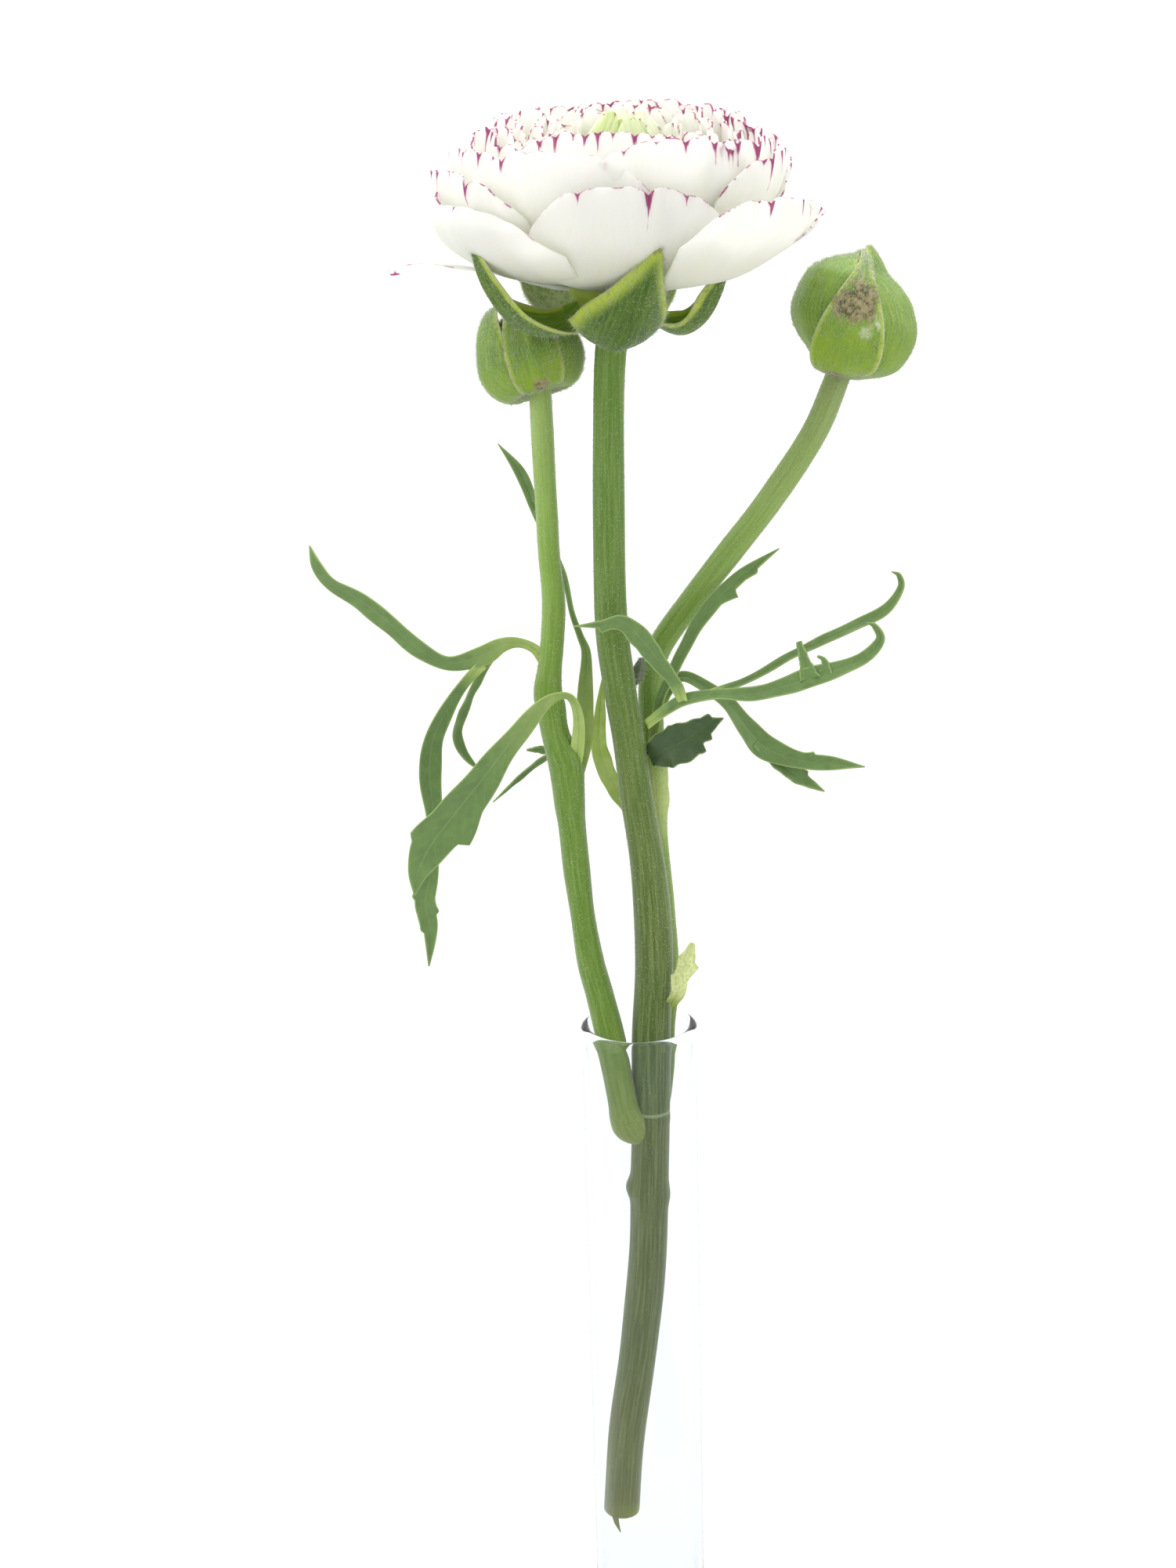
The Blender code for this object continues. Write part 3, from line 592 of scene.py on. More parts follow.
def make_cut_end(material):
    """The torn fibres left at the foot of the cut main stem."""
    bits = Bits()
    for x, y, drop, r in CUT_FIBRES:
        route = smooth_route(((x, y, CUT_HEIGHT + 1.1, r), (x + 0.2, y, CUT_HEIGHT - 0.45 * drop, r * 0.7),
                              (x + 1.0, y - 0.2, CUT_HEIGHT - drop, 0.08)), 14)
        bits.tube(route, 10, lambda u, a: 1 + 0.2 * np.sin(3 * a + 5 * u))
    bits.build("cut_stem_fibres", material)


# ---------------------------------------------------------------- the open flower

FLOWER_BASE = np.array((-0.7, 0.0, 243.4))
FLOWER_AXIS = Vector((0.035, -0.225, 0.97)).normalized()
PETAL_AXIS = Vector((0.035, -0.180, 0.982)).normalized()


def upright(points, base, axis):
    """Points from a flower's own frame, with its axis up, to the scene's frame."""
    turn = np.array(Vector((0, 0, 1)).rotation_difference(axis).to_matrix())
    return points @ turn.T + base


def notch_columns(cols, notches):
    """Places across a petal from -1 to 1, with one column exactly on each notch."""
    v = np.linspace(-1, 1, cols)
    for at in notches:
        k = int(np.argmin(np.abs(v[1:-1] - at))) + 1
        v[k] = at
    return np.sort(v)


def petal(bits, profile, azimuth, half_angle, rng, lobes=4, notch=0.8, dye=0.7, tint=0.0, cream=0.4,
          green=0.0, low=1.0, stagger=1.2, cup=0.0, ruffle=0.5, shoulder=0.32, rows=26, cols=40,
          wedges=(), claw=0.5, sag=0.0, thickness=0.26, base=FLOWER_BASE, axis=PETAL_AXIS):
    """One petal: a patch of a turned surface, with a rounded lobed rim, ruffles and its own dye."""
    route = smooth_route(profile, 200, 2)
    length = route_length(route, 2)
    at = np.linspace(0, length, 200)
    tip = route[-1, 0]
    half_mm = max(half_angle * max(tip, 0.65 * route[:, 0].max()), 1.5)
    places = np.linspace(-0.84, 0.84, lobes + 1)[1:-1] if lobes > 1 else np.zeros(0)
    places = list(places + rng.uniform(-0.35, 0.35, len(places)) / max(lobes, 1)) + [w[0] for w in wedges]
    depths = list(notch * rng.uniform(0.35, 1.0, len(places) - len(wedges))) + [w[1] for w in wedges]
    spans = list(dye * rng.uniform(0.3, 3.2, len(places) - len(wedges)) ** 1.2) + [w[2] for w in wedges]
    v = notch_columns(cols, places)
    crease, drop = np.zeros(cols), shoulder * length * np.abs(v) ** 3.2
    drop = drop + 0.16 * ruffle * (np.sin(9 * v + rng.uniform(0, 6)) + np.sin(21 * v + rng.uniform(0, 6)))
    cleft, wedge = np.full(cols, 9.0), np.zeros(cols)
    for place, depth, span in zip(places, depths, spans):
        off = np.abs(v - place) * half_mm
        drop = drop + depth * np.exp(-(off / (0.35 + 0.4 * depth)) ** 1.3)
        crease = crease + depth * np.exp(-(off / 0.9) ** 2)
        nearer = off < cleft
        cleft, wedge = np.where(nearer, off, cleft), np.where(nearer, span, wedge)
    lift = (1 - np.linspace(0, 1, rows)) ** 1.55
    reach = length - drop + drop.min()
    s = (1 - lift)[:, None] * reach[None, :]
    r, h = np.interp(s, at, route[:, 0]), np.interp(s, at, route[:, 1])
    slope = unit(np.gradient(route, axis=0))
    nr, nh = -np.interp(s, at, slope[:, 1]), np.interp(s, at, slope[:, 0])
    over = np.maximum(s - length, 0)
    r, h = r + over * nh, h - over * nr
    t = np.clip(s / length, 0, 1.2)
    wide = half_angle * (claw + (1 - claw) * ease(t / 0.45))
    wave = np.zeros_like(s)
    for n, gain in ((2, 1.0), (3, 0.8), (5, 0.55), (9, 0.25)):
        wave += gain * np.sin(n * 2.1 * v[None, :] + rng.uniform(0, 6.28) + 1.7 * t)
    push = stagger * 0.5 * v[None, :] * ease(t / 0.2) + cup * v[None, :] ** 2 * t
    push = push + ruffle * wave * t ** 3 - 0.55 * crease[None, :] * t ** 6
    r, h = r + nr * push, h + nh * push
    slump = sag * t ** 1.5 * 0.5 * (v[None, :] + 1)
    r, h = r + 0.25 * np.abs(slump), h - slump
    angle = azimuth + v[None, :] * wide
    points = np.stack([r * np.cos(angle), r * np.sin(angle), h], axis=-1)
    side = (1 - np.abs(v))[None, :] * half_mm + 0.3 + 3.5 * (1 - t)
    edge = np.minimum(reach[None, :] - s, side)
    # low is painted shade: grey-green towards the petal's base, gone by three quarters of its length
    bits.shell(upright(points, base, axis), thickness, edge=edge, across=v[None, :] * wide * r, along=s,
               cleft=cleft[None, :], wedge=wedge[None, :], dye=dye, tint=tint,
               cream=cream * np.exp(-((t - 0.45) / 0.32) ** 2), low=low * (1 - ease(t / 0.75)), green=green)


def ring_profile(root, base, belly, tip, top):
    """Radius and height of a petal that swells to belly and closes to tip at height top."""
    rise = top - base
    return ((root, base), (0.5 * belly, base + 0.13 * rise), (0.86 * belly, base + 0.40 * rise),
            (belly, base + 0.72 * rise), (tip, top))


# Petals of the three outer whorls: azimuth and half angle in degrees, radius and height of the tip,
# bowl (0 spreads flat, 1 stands up), cup, lobes, notch, dye, sag of one side, painted shade low down,
# and wedges (place, depth, length).
OUTER_PETALS = (
    (-88, 35, 27.0, 18.4, 0.75, 0.5, 4, 0.5, 0.8, 0.0, 0.9, ((0.14, 1.2, 5.5),)),
    (-33, 40, 29.6, 18.6, 0.55, 0.4, 4, 0.5, 0.5, 5.5, 0.8,
     ((-0.35, 0.7, 3.6), (0.1, 0.6, 3.5), (0.45, 0.6, 4.0))),
    (12, 32, 31.0, 13.0, 0.2, 0.4, 3, 0.4, 0.4, 0.0, 0.9, ((0.1, 0.4, 3.0),)),
    (52, 33, 29.0, 15.0, 0.4, 0.4, 4, 0.6, 0.6, 0.0, 0.9, ()),
    (96, 33, 28.0, 16.0, 0.5, 0.4, 4, 0.6, 0.6, 0.0, 0.9, ()),
    (140, 33, 29.0, 15.0, 0.4, 0.4, 4, 0.6, 0.6, 0.0, 0.9, ()),
    (182, 30, 29.0, 15.5, 0.4, 0.4, 4, 0.8, 0.7, 0.0, 0.7, ((0.3, 0.6, 2.5),)),
    (-146, 37, 28.2, 13.6, 0.95, 1.4, 2, 0.3, 0.25, -1.0, 1.7, ()),
)
MIDDLE_PETALS = (
    (-114, 35, 25.6, 22.6, 0.85, 0.2, 5, 0.7, 0.4, 0.0, 0.8, ((-0.5, 0.8, 2.0),)),
    (-70, 35, 24.4, 24.6, 0.85, 0.2, 6, 0.8, 0.8, 0.0, 0.8, ((0.5, 1.0, 3.0),)),
    (-24, 34, 25.6, 22.2, 0.6, 0.3, 5, 0.8, 0.9, 0.0, 0.8, ((-0.4, 0.9, 4.5), (0.1, 0.8, 3.2))),
    (22, 33, 26.0, 20.0, 0.4, 0.4, 5, 0.8, 0.8, 0.0, 0.8, ()),
    (68, 33, 25.0, 21.5, 0.5, 0.4, 5, 0.8, 0.7, 0.0, 0.8, ()),
    (114, 33, 25.0, 21.5, 0.5, 0.4, 5, 0.8, 0.7, 0.0, 0.8, ()),
    (160, 33, 27.0, 19.6, 0.5, 0.4, 5, 0.9, 0.8, 0.0, 0.8, ()),
    (-157, 34, 28.0, 18.6, 0.6, 0.4, 4, 0.8, 0.9, 0.0, 0.8, ((0.35, 1.0, 4.0), (-0.3, 0.8, 2.5))),
)
INNER_PETALS = (
    (-94, 40, 22.6, 25.4, 0.9, 0.1, 10, 0.9, 0.9, 0.0, 0.6, ((0.62, 1.0, 2.2), (-0.25, 1.0, 2.4))),
    (-36, 40, 23.6, 24.2, 0.75, 0.2, 9, 0.9, 1.0, 0.0, 0.6, ((-0.1, 1.2, 4.0), (0.3, 1.0, 3.0))),
    (26, 38, 23.4, 23.0, 0.6, 0.3, 8, 0.9, 0.9, 0.0, 0.6, ()),
    (90, 38, 22.0, 24.4, 0.6, 0.3, 8, 0.8, 0.7, 0.0, 0.6, ()),
    (152, 38, 23.6, 22.6, 0.6, 0.3, 8, 0.9, 0.8, 0.0, 0.6, ()),
    (-150, 40, 25.0, 21.8, 0.7, 0.2, 7, 0.9, 0.9, 0.0, 0.6, ((0.3, 1.0, 3.5), (-0.2, 0.8, 2.6))),
)
# Rows nearer the eye: name, count, first azimuth, root, tip radius and height, bowl, half angle,
# lobes, notch, dye, tint, cream.
ROWS = (
    ("crown_row_1", 10, -70, 3.2, 6.5, 20.4, 24.9, 0.85, 27, 6, 0.9, 0.95, 0.15, 0.6),
    ("crown_row_2", 10, -88, 3.1, 7.2, 18.2, 25.4, 0.9, 27, 5, 0.9, 0.95, 0.3, 0.75),
    ("crown_row_3", 10, -72, 3.0, 7.8, 15.8, 25.6, 1.0, 27, 4, 0.8, 0.85, 0.4, 0.9),
    ("crown_row_4", 9, -84, 2.9, 8.4, 13.4, 25.6, 1.0, 29, 4, 0.8, 0.8, 0.5, 1.0),
    ("crown_row_5", 8, -66, 2.8, 9.0, 11.0, 25.3, 1.1, 31, 3, 0.7, 0.7, 0.7, 1.0),
    ("crown_row_6", 7, -90, 2.6, 9.6, 8.8, 24.9, 1.1, 34, 3, 0.5, 0.5, 0.9, 1.0),
)
BACK_RISE, BACK_AZIMUTH = 1.9, 76.0
EYE_PETALS = (  # azimuth, half angle, belly, tip, top, green
    (-124, 27, 5.0, 2.0, 26.3, 0.75), (-66, 36, 5.6, 3.2, 25.5, 0.5), (-6, 32, 5.4, 2.8, 25.5, 0.3),
    (46, 38, 6.0, 2.8, 26.2, 0.2), (100, 38, 6.0, 2.6, 26.5, 0.2), (160, 36, 5.6, 2.6, 25.8, 0.35),
    (-92, 40, 3.8, 1.2, 25.1, 0.9), (20, 42, 3.8, 1.2, 25.2, 0.8), (140, 42, 3.8, 1.2, 25.3, 0.8),
)
DROOPING_PETAL = ((4.4, -0.6), (12, 0.6), (20, 2.2), (28, 3.0), (36.5, 2.4))


def cup_profile(root, base, tip, top, bowl):
    """Radius and height from a petal's claw to its tip; bowl above 1 closes it again."""
    radii = [a + bowl * (b - a) for a, b in ((0.34, 0.40), (0.58, 0.72), (0.81, 0.97), (0.93, 1.04))]
    rises = [a + min(bowl, 1) * (b - a) for a, b in ((0.06, 0.06), (0.22, 0.20), (0.55, 0.50), (0.77, 0.76))]
    return ((root, base), *((r * tip, base + h * (top - base)) for r, h in zip(radii, rises)), (tip, top))


def make_whorl(name, table, root, base, look, rng, cols, cream, shoulder):
    for i, (az, half, tip, top, bowl, cup, lobes, notch, dye, sag, low, wedges) in enumerate(table):
        bits = Bits()
        petal(bits, cup_profile(root, base, tip, top, bowl), math.radians(az), math.radians(half), rng,
              lobes, notch, dye, cup=cup, ruffle=0.5, shoulder=shoulder, cream=cream, wedges=wedges,
              sag=sag, low=low, rows=34, cols=cols)
        bits.build(f"{name}_{i + 1}_look", look, (f"{name}_{i + 1}",))


def make_petals(look, rng):
    make_whorl("outer_petal", OUTER_PETALS, 3.7, 0.5, look, rng, 76, 0.35, 0.26)
    make_whorl("middle_petal", MIDDLE_PETALS, 3.5, 3.0, look, rng, 72, 0.45, 0.20)
    make_whorl("inner_petal", INNER_PETALS, 3.3, 5.0, look, rng, 72, 0.5, 0.16)
    for name, count, start, root, base, tip, top, bowl, half, lobes, notch, dye, tint, cream in ROWS:
        bits = Bits()
        for i in range(count):
            az = math.radians(start + 360 * i / count + rng.uniform(-6, 6))
            rise = BACK_RISE * math.cos(az - math.radians(BACK_AZIMUTH)) - 0.5 + rng.uniform(-0.6, 0.4)
            profile = cup_profile(root, base, tip + rng.uniform(-0.5, 0.5), top + rise, bowl)
            petal(bits, profile, az, math.radians(half), rng, lobes, notch, dye * rng.uniform(0.5, 1.25),
                  tint=min(1, max(0, tint + rng.uniform(-0.2, 0.2))), cream=cream, ruffle=0.45, low=0.6,
                  rows=26, cols=44)
        bits.build(name, look, ("petal_heart",))
    bits = Bits()
    for az, half, belly, tip, top, green in EYE_PETALS:
        petal(bits, ring_profile(1.4, 12, belly, tip, top), math.radians(az), math.radians(half), rng,
              2, 0.3, 0.18, tint=0.9, cream=0.3, green=green, cup=-0.2, ruffle=0.15, shoulder=0.25,
              rows=26, cols=30, thickness=0.35)
    bits.build("eye_petals", look, ("petal_heart",))
    bits = Bits()
    petal(bits, DROOPING_PETAL, math.radians(178), 0.20, rng, 4, 0.9, 0.9, stagger=1.6, cup=-0.6, ruffle=0.7,
          cream=0.0, low=0.1, rows=40, cols=44, claw=0.8)
    bits.build("drooping_petal_look", look, ("drooping_petal",))


PISTIL_COUNT, PISTIL_DOME_RADIUS, PISTIL_DOME_TOP = 70, 2.6, 24.6


def make_pistils(look):
    """A dome of small hooked pistils below the eye petals."""
    bits = Bits()
    golden = math.pi * (3 - math.sqrt(5))
    for i in range(PISTIL_COUNT):
        r, a = PISTIL_DOME_RADIUS * math.sqrt((i + 0.5) / PISTIL_COUNT), i * golden
        top = PISTIL_DOME_TOP - 0.28 * r * r
        lean = np.array((math.cos(a), math.sin(a), 0.0))
        p = [np.array((0, 0, top - 3.0)) + lean * r * 0.8, np.array((0, 0, top - 0.5)) + lean * r,
             np.array((0, 0, top + 0.2)) + lean * (r + 0.12), np.array((0, 0, top + 0.4)) + lean * (r - 0.1)]
        world = upright(np.array(p), FLOWER_BASE, FLOWER_AXIS)
        route = smooth_route(np.column_stack([world, (0.30, 0.28, 0.2, 0.05)]), 9)
        bits.tube(route, 8)
    bits.build("pistils", look, ("pistil_centre",))


# Radius and height of the swollen stem end under the petals.
RECEPTACLE = ((0, 8.0), (2.0, 7.6), (2.6, 5.8), (5.0, 3.2), (7.2, 1.5), (7.6, -0.6), (6.0, -3.2), (3.4, -4.9),
              (0, -4.9))
RECEPTACLE_ROWS, RECEPTACLE_SIDES = 60, 64


def make_receptacle(look):
    rows, sides = RECEPTACLE_ROWS, RECEPTACLE_SIDES
    route = smooth_route(RECEPTACLE, rows, 2)
    bits = Bits()
    angle = np.linspace(0, 2 * np.pi, sides + 1)[:-1]
    bulge = 1 + 0.04 * np.sin(5 * angle + 0.6) + 0.02 * np.sin(11 * angle)
    r = np.maximum(route[:, :1], 0.02) * bulge[None, :]
    points = np.stack([r * np.cos(angle), r * np.sin(angle), route[:, 1:] + 0 * r], axis=-1)
    world = upright(points, FLOWER_BASE, FLOWER_AXIS)
    index = np.arange(rows * sides).reshape(rows, sides)
    right = np.roll(index, -1, axis=1)
    wall = np.stack([index[:-1], index[1:], right[1:], right[:-1]], axis=-1).reshape(-1, 4)
    brown = 0.75 * np.exp(-((angle - 4.9) / 0.5) ** 2)
    # pale 0.2 is a touch of painted light in pale flecks
    bits.add(world.reshape(-1, 3), (wall[:, ::-1], index[:1], index[-1:, ::-1]), {
        "edge": 0.9, "across": (r * angle).ravel(), "along": np.repeat(route[:, 1], sides), "inner": 0.0,
        "brown": np.tile(brown, rows), "warm": 1.0, "pale": 0.2})
    bits.build("receptacle_skin", look, ("receptacle",))


# ---------------------------------------------------------------- sepals and buds


HAIR_RADIUS = 0.03
UPWARD_LEAN = np.array((0, 0, 0.5))


def bract(bits, profile, widths, azimuth, rng, base, axis, down, count, hair, cup, keel, twist, brown_tip,
          stagger=0.0, spread=3.2, thickness=0.7, brown_base=0.0, brown_patch=(), painted_light_patch=(), warm=0.0,
          wave=0.3, rows=56, cols=33):
    """A sepal: a patch of a turned surface with half widths in mm along it, keeled and cupped."""
    route = smooth_route(profile, rows, 2)
    length = route_length(route, 2)
    u = np.linspace(0, 1, rows)
    half = smooth_route([(i, w) for i, w in enumerate(widths)], rows, 1)[:, 1]
    half = np.maximum(half, 0.12)
    v = np.linspace(-1, 1, cols)
    r, h = np.repeat(route[:, :1], cols, axis=1), np.repeat(route[:, 1:2], cols, axis=1)
    slope = unit(np.gradient(route, axis=0))
    nr, nh = -slope[:, 1:2], slope[:, :1]
    bell = np.sin(np.pi * np.clip(u, 0, 1))[:, None] ** 0.8
    edge_wave = wave * np.sin(7 * u + rng.uniform(0, 6))[:, None] * v[None] ** 3
    edge_wave = edge_wave + 0.5 * wave * np.sin(17 * u + rng.uniform(0, 6))[:, None] * np.abs(v[None]) ** 3
    push = np.where(v < 0, *cup)[None] * v[None] ** 2 * bell - keel * np.exp(-(v[None] / 0.16) ** 2) * bell
    push = push + edge_wave
    push = push + stagger * 0.5 * v[None] * ease(u / 0.14)[:, None]
    r, h = r + nr * push, h + nh * push
    fan = np.minimum(half / np.maximum(route[:, 0], 0.6), spread)
    angle = azimuth + twist * u[:, None] + v[None] * fan[:, None]
    points = np.stack([r * np.cos(angle), r * np.sin(angle), h], axis=-1)
    world = upright(points, base, axis)
    edge = np.minimum((1 - np.abs(v))[None] * half[:, None], (1 - u)[:, None] * length + 0.0)
    edge = np.where(u[:, None] < 0.12, np.maximum(edge, 0.8), edge)
    thick = thickness * (0.35 + 0.65 * np.clip(1 - np.abs(v)[None] ** 2, 0, 1))
    thick = thick * np.minimum(1, half / 0.8)[:, None]
    brown = brown_tip * ease((u - 0.88) / 0.12) + brown_base * ease((0.16 - u) / 0.16)
    brown = brown[:, None] + 0 * v[None]
    # brown patches: dying tissue, and thin lines at the margins that are painted shade
    for at, where, long, wide, gain in brown_patch:
        brown = brown + gain * np.exp(-((u[:, None] - at) / long) ** 2 - ((v[None] - where) / wide) ** 2)
    # pale patches are painted light
    pale = np.zeros((rows, cols))
    for at, where, long, wide in painted_light_patch:
        pale = pale + np.exp(-((u[:, None] - at) / long) ** 2 - ((v[None] - where) / wide) ** 2)
    bits.shell(world, thick, edge=edge, across=v[None] * half[:, None], along=(u * length)[:, None],
               brown=brown, warm=(warm * ease((0.55 - u) / 0.25) * ease(u / 0.12))[:, None], pale=pale)
    roots, out = scatter(world, -grid_normals(world), count, rng)
    down.hairs(roots + 0.3 * thickness * out, out * 0.55 + UPWARD_LEAN, hair, HAIR_RADIUS, rng)


# Sepals of the open flower: azimuth, profile (radius, height), half widths, cup of each side, keel,
# brown tip, twist.
SEPAL_PROFILE = ((4.4, -2.2), (8.0, -5.6), (12.6, -6.6), (17.4, -3.6), (20.6, 1.6), (22.4, 6.2))
SEPALS = {
    "front": (-98.5, ((4.4, -1.6), (7.6, -4.4), (12.0, -6.0), (16.6, -5.1), (20.6, -0.9), (23.0, 5.0),
                      (23.8, 11.4)),
              (2.2, 5.0, 7.0, 8.1, 8.3, 6.7, 4.4, 2.4, 0.12), (4.2, 4.6), 0.25, 0.9, 0.40),
    "left": (-145, ((4.4, -2.0), (8.8, -4.6), (14.0, -5.2), (19.6, -2.7), (24.0, 2.6), (26.2, 8.0),
                    (26.8, 12.8)),
             (2.2, 3.8, 4.4, 4.2, 3.5, 2.6, 1.5, 0.3), (3.4, 0.9), 0.3, 0.1, 0.0),
    "back_left": (136, SEPAL_PROFILE, (2.0, 4.0, 5.2, 5.2, 4.0, 2.2, 0.2), (1.6, 1.6), 0.3, 0.1, 0.0),
    "back_right": (64, SEPAL_PROFILE, (2.0, 3.6, 4.4, 4.4, 3.6, 2.0, 0.2), (1.6, 1.6), 0.3, 0.1, 0.0),
    "right": (-8, ((4.4, -2.4), (7.6, -5.6), (11.2, -6.3), (14.4, -3.8), (16.6, 1.0), (17.5, 6.4)),
              (1.9, 2.8, 3.4, 3.4, 3.0, 2.0, 0.3), (2.4, 2.4), 0.3, 0.5, 0.0),
}


SEPAL_BASE = FLOWER_BASE - (0.5, 0, 0)
SEPAL_HAIRS, SEPAL_HAIR_LENGTH = 2000, 0.85


def make_sepals(looks, rng, down):
    for side, (azimuth, profile, widths, cup, keel, brown, twist) in SEPALS.items():
        bits = Bits()
        # the back sepals are painted light all over: pale as if lit through from behind
        bract(bits, profile, widths, math.radians(azimuth), rng, SEPAL_BASE, FLOWER_AXIS, down,
              SEPAL_HAIRS, SEPAL_HAIR_LENGTH, cup, keel, twist, brown,
              painted_light_patch=((0.5, 0.0, 1.2, 3.0),) if "back" in side else ())
        look = looks["sepal" if side == "front" else "thin_sepal"]
        bits.build(f"flower_sepal_{side}_look", look, (f"flower_sepal_{side}",))


BUD_SEPAL_HAIRS, BUD_HAIR_LENGTH = 2200, 0.8
# Buds: base point, axis, radius and height (mm).
BUDS = {
    "right_bud": (np.array((35.7, 8.0, 228.8)), Vector((0.19, 0.0, 1.0)).normalized(), 9.9, 19.7),
    "left_bud": (np.array((-13.8, 6.6, 227.7)), Vector((-0.25, 0.16, 1.0)).normalized(), 8.2, 11.6),
}
# Radius and height of a bud's outline, as shares of its radius and height.
BUD_PROFILES = {
    "left_half": (
        (0.14, 0.0), (0.33, 0.09), (0.60, 0.19), (0.78, 0.28), (0.91, 0.37), (0.97, 0.455), (0.97, 0.545),
        (0.93, 0.634), (0.87, 0.72), (0.76, 0.81), (0.47, 0.90), (0.14, 0.955), (0.05, 1.0)),
    "right_half": (
        (0.20, -0.01), (0.62, 0.05), (0.84, 0.11), (0.95, 0.19), (1.02, 0.28), (1.05, 0.37), (1.03, 0.455),
        (0.96, 0.545), (0.86, 0.634), (0.68, 0.72), (0.42, 0.81), (0.27, 0.90), (0.15, 0.965), (0.06, 1.0)),
    "front": (
        (0.20, -0.01), (0.60, 0.04), (0.84, 0.11), (0.98, 0.21), (1.04, 0.32), (1.03, 0.42), (0.96, 0.56),
        (0.85, 0.70), (0.68, 0.80), (0.42, 0.89), (0.16, 0.955), (0.05, 1.0)),
    "round": (
        (0.22, 0.03), (0.60, -0.02), (0.86, 0.10), (1.0, 0.34), (0.98, 0.56), (0.86, 0.78), (0.62, 0.95),
        (0.24, 1.04)),
}
# Bud sepals: azimuth in degrees, half width over radius along it, how far out it lies (mm), tip lift,
# outline.
BUD_SEPALS = {
    "right_bud": (
        (95, (0.30, 0.9, 1.15, 1.0, 0.5, 0.05), -0.5, 0.0, "left_half"),
        (165, (0.45, 1.1, 1.2, 1.0, 0.5, 0.05), -0.1, 0.0, "left_half"),
        (-150, (0.45, 1.1, 1.25, 1.0, 0.42, 0.05), 0.1, 0.0, "left_half"),
        (-101, (0.24, 0.48, 0.58, 0.53, 0.36, 0.18, 0.10, 0.06), 1.25, 0.0, "front"),
        (-26, (0.30, 0.85, 1.1, 0.95, 0.45, 0.16), 0.1, 0.9, "right_half"),
    ),
    "left_bud": (
        (95, (0.35, 0.95, 1.15, 0.85, 0.45, 0.05), -0.5, 0.0, "round"),
        (155, (0.35, 0.9, 1.0, 0.8, 0.5, 0.05), 0.0, 0.6, "round"),
        (-160, (0.35, 0.75, 0.88, 0.86, 0.70, 0.44, 0.12), 0.35, 2.6, "round"),
        (-86, (0.24, 0.42, 0.54, 0.55, 0.46, 0.34, 0.12), 0.8, 0.3, "round"),
        (-20, (0.34, 0.85, 0.95, 0.8, 0.5, 0.06), 0.15, 0.0, "round"),
    ),
}


BUD_CUP, BUD_KEEL, BUD_SPREAD = (-0.35, -0.35), 0.28, 1.32
FRONT_SEPAL, BROWN_TIPPED_SEPAL = 3, 4
# Brown and pale patches of bud sepals: place along, place across, length, width, strength of the brown. The thin
# brown lines along both margins are painted shade where sepals overlap; the pale patches are painted light.
BUD_BROWN_AND_SHADE_PATCHES = ((0.30, 1.0, 0.3, 0.07, 0.7), (0.30, -1.0, 0.3, 0.07, 0.7), (0.10, 0.0, 0.07, 1.4, 0.42))
FRONT_BROWN_AND_SHADE_PATCHES = {
    "right_bud": ((0.53, -0.1, 0.085, 0.9, 1.3), (0.67, 0.0, 0.10, 1.5, 0.55), (0.07, -0.3, 0.06, 0.5, 1.0)),
    "left_bud": ((0.19, 0.05, 0.08, 0.30, 1.5), (0.5, 1.0, 0.4, 0.05, 0.8), (0.5, -1.0, 0.4, 0.05, 0.8)),
}
SIDE_PATCH = ((0.16, 0.6, 0.10, 0.5, 0.65),)
# painted highlights: pale glints on the right bud's front sepal
PAINTED_GLINT_PATCHES = ((0.41, 0.40, 0.06, 0.28), (0.47, 0.8, 0.05, 0.14))


def make_bud(name, look, rng, down):
    """The five sepals folded over a bud; the right bud's front one is twisted and patched."""
    base, axis, radius, height = BUDS[name]
    for i, (azimuth, widths, out, lift, outline) in enumerate(BUD_SEPALS[name]):
        profile = [(r * radius + out * min(1, 0.25 + 2.6 * r), h * height + lift * max(0, h - 0.55) * 2.2)
                   for r, h in BUD_PROFILES[outline]]
        front, tipped, right = i == FRONT_SEPAL, i == BROWN_TIPPED_SEPAL, name == "right_bud"
        patches = FRONT_BROWN_AND_SHADE_PATCHES[name] if front else BUD_BROWN_AND_SHADE_PATCHES
        if tipped and right:
            patches += SIDE_PATCH
        bits = Bits()
        bract(bits, profile, [w * radius for w in widths], math.radians(azimuth), rng, base, axis, down,
              BUD_SEPAL_HAIRS, BUD_HAIR_LENGTH, BUD_CUP, BUD_KEEL, 0.16 if front and right else 0.0,
              0.5 if tipped else 0.2, stagger=0.35, spread=BUD_SPREAD, thickness=0.6, brown_base=0.35,
              brown_patch=patches, painted_light_patch=PAINTED_GLINT_PATCHES if front and right else (),
              warm=1.0 if front else 0.45, wave=0.2, rows=80, cols=41)
        bits.build(f"{name}_sepal_{i + 1}_look", look, (f"{name}_sepal_{i + 1}",))


def make_bud_core(name, look, rng):
    """Furled petals inside a bud, seen only through the gaps."""
    base, axis, radius, height = BUDS[name]
    bits = Bits()
    for i in range(6):
        profile = [(r * radius * 0.70, (0.08 + 0.78 * h) * height) for r, h in BUD_PROFILES["front"]]
        petal(bits, profile, math.radians(60 * i + 10), math.radians(42), rng, 2, 0.3, 0.1, green=0.5,
              stagger=0.8, ruffle=0.1, rows=20, cols=24, base=base, axis=axis)
    bits.build(f"{name}_petals_look", look, (f"{name}_petals",))


# ---------------------------------------------------------------- leaves

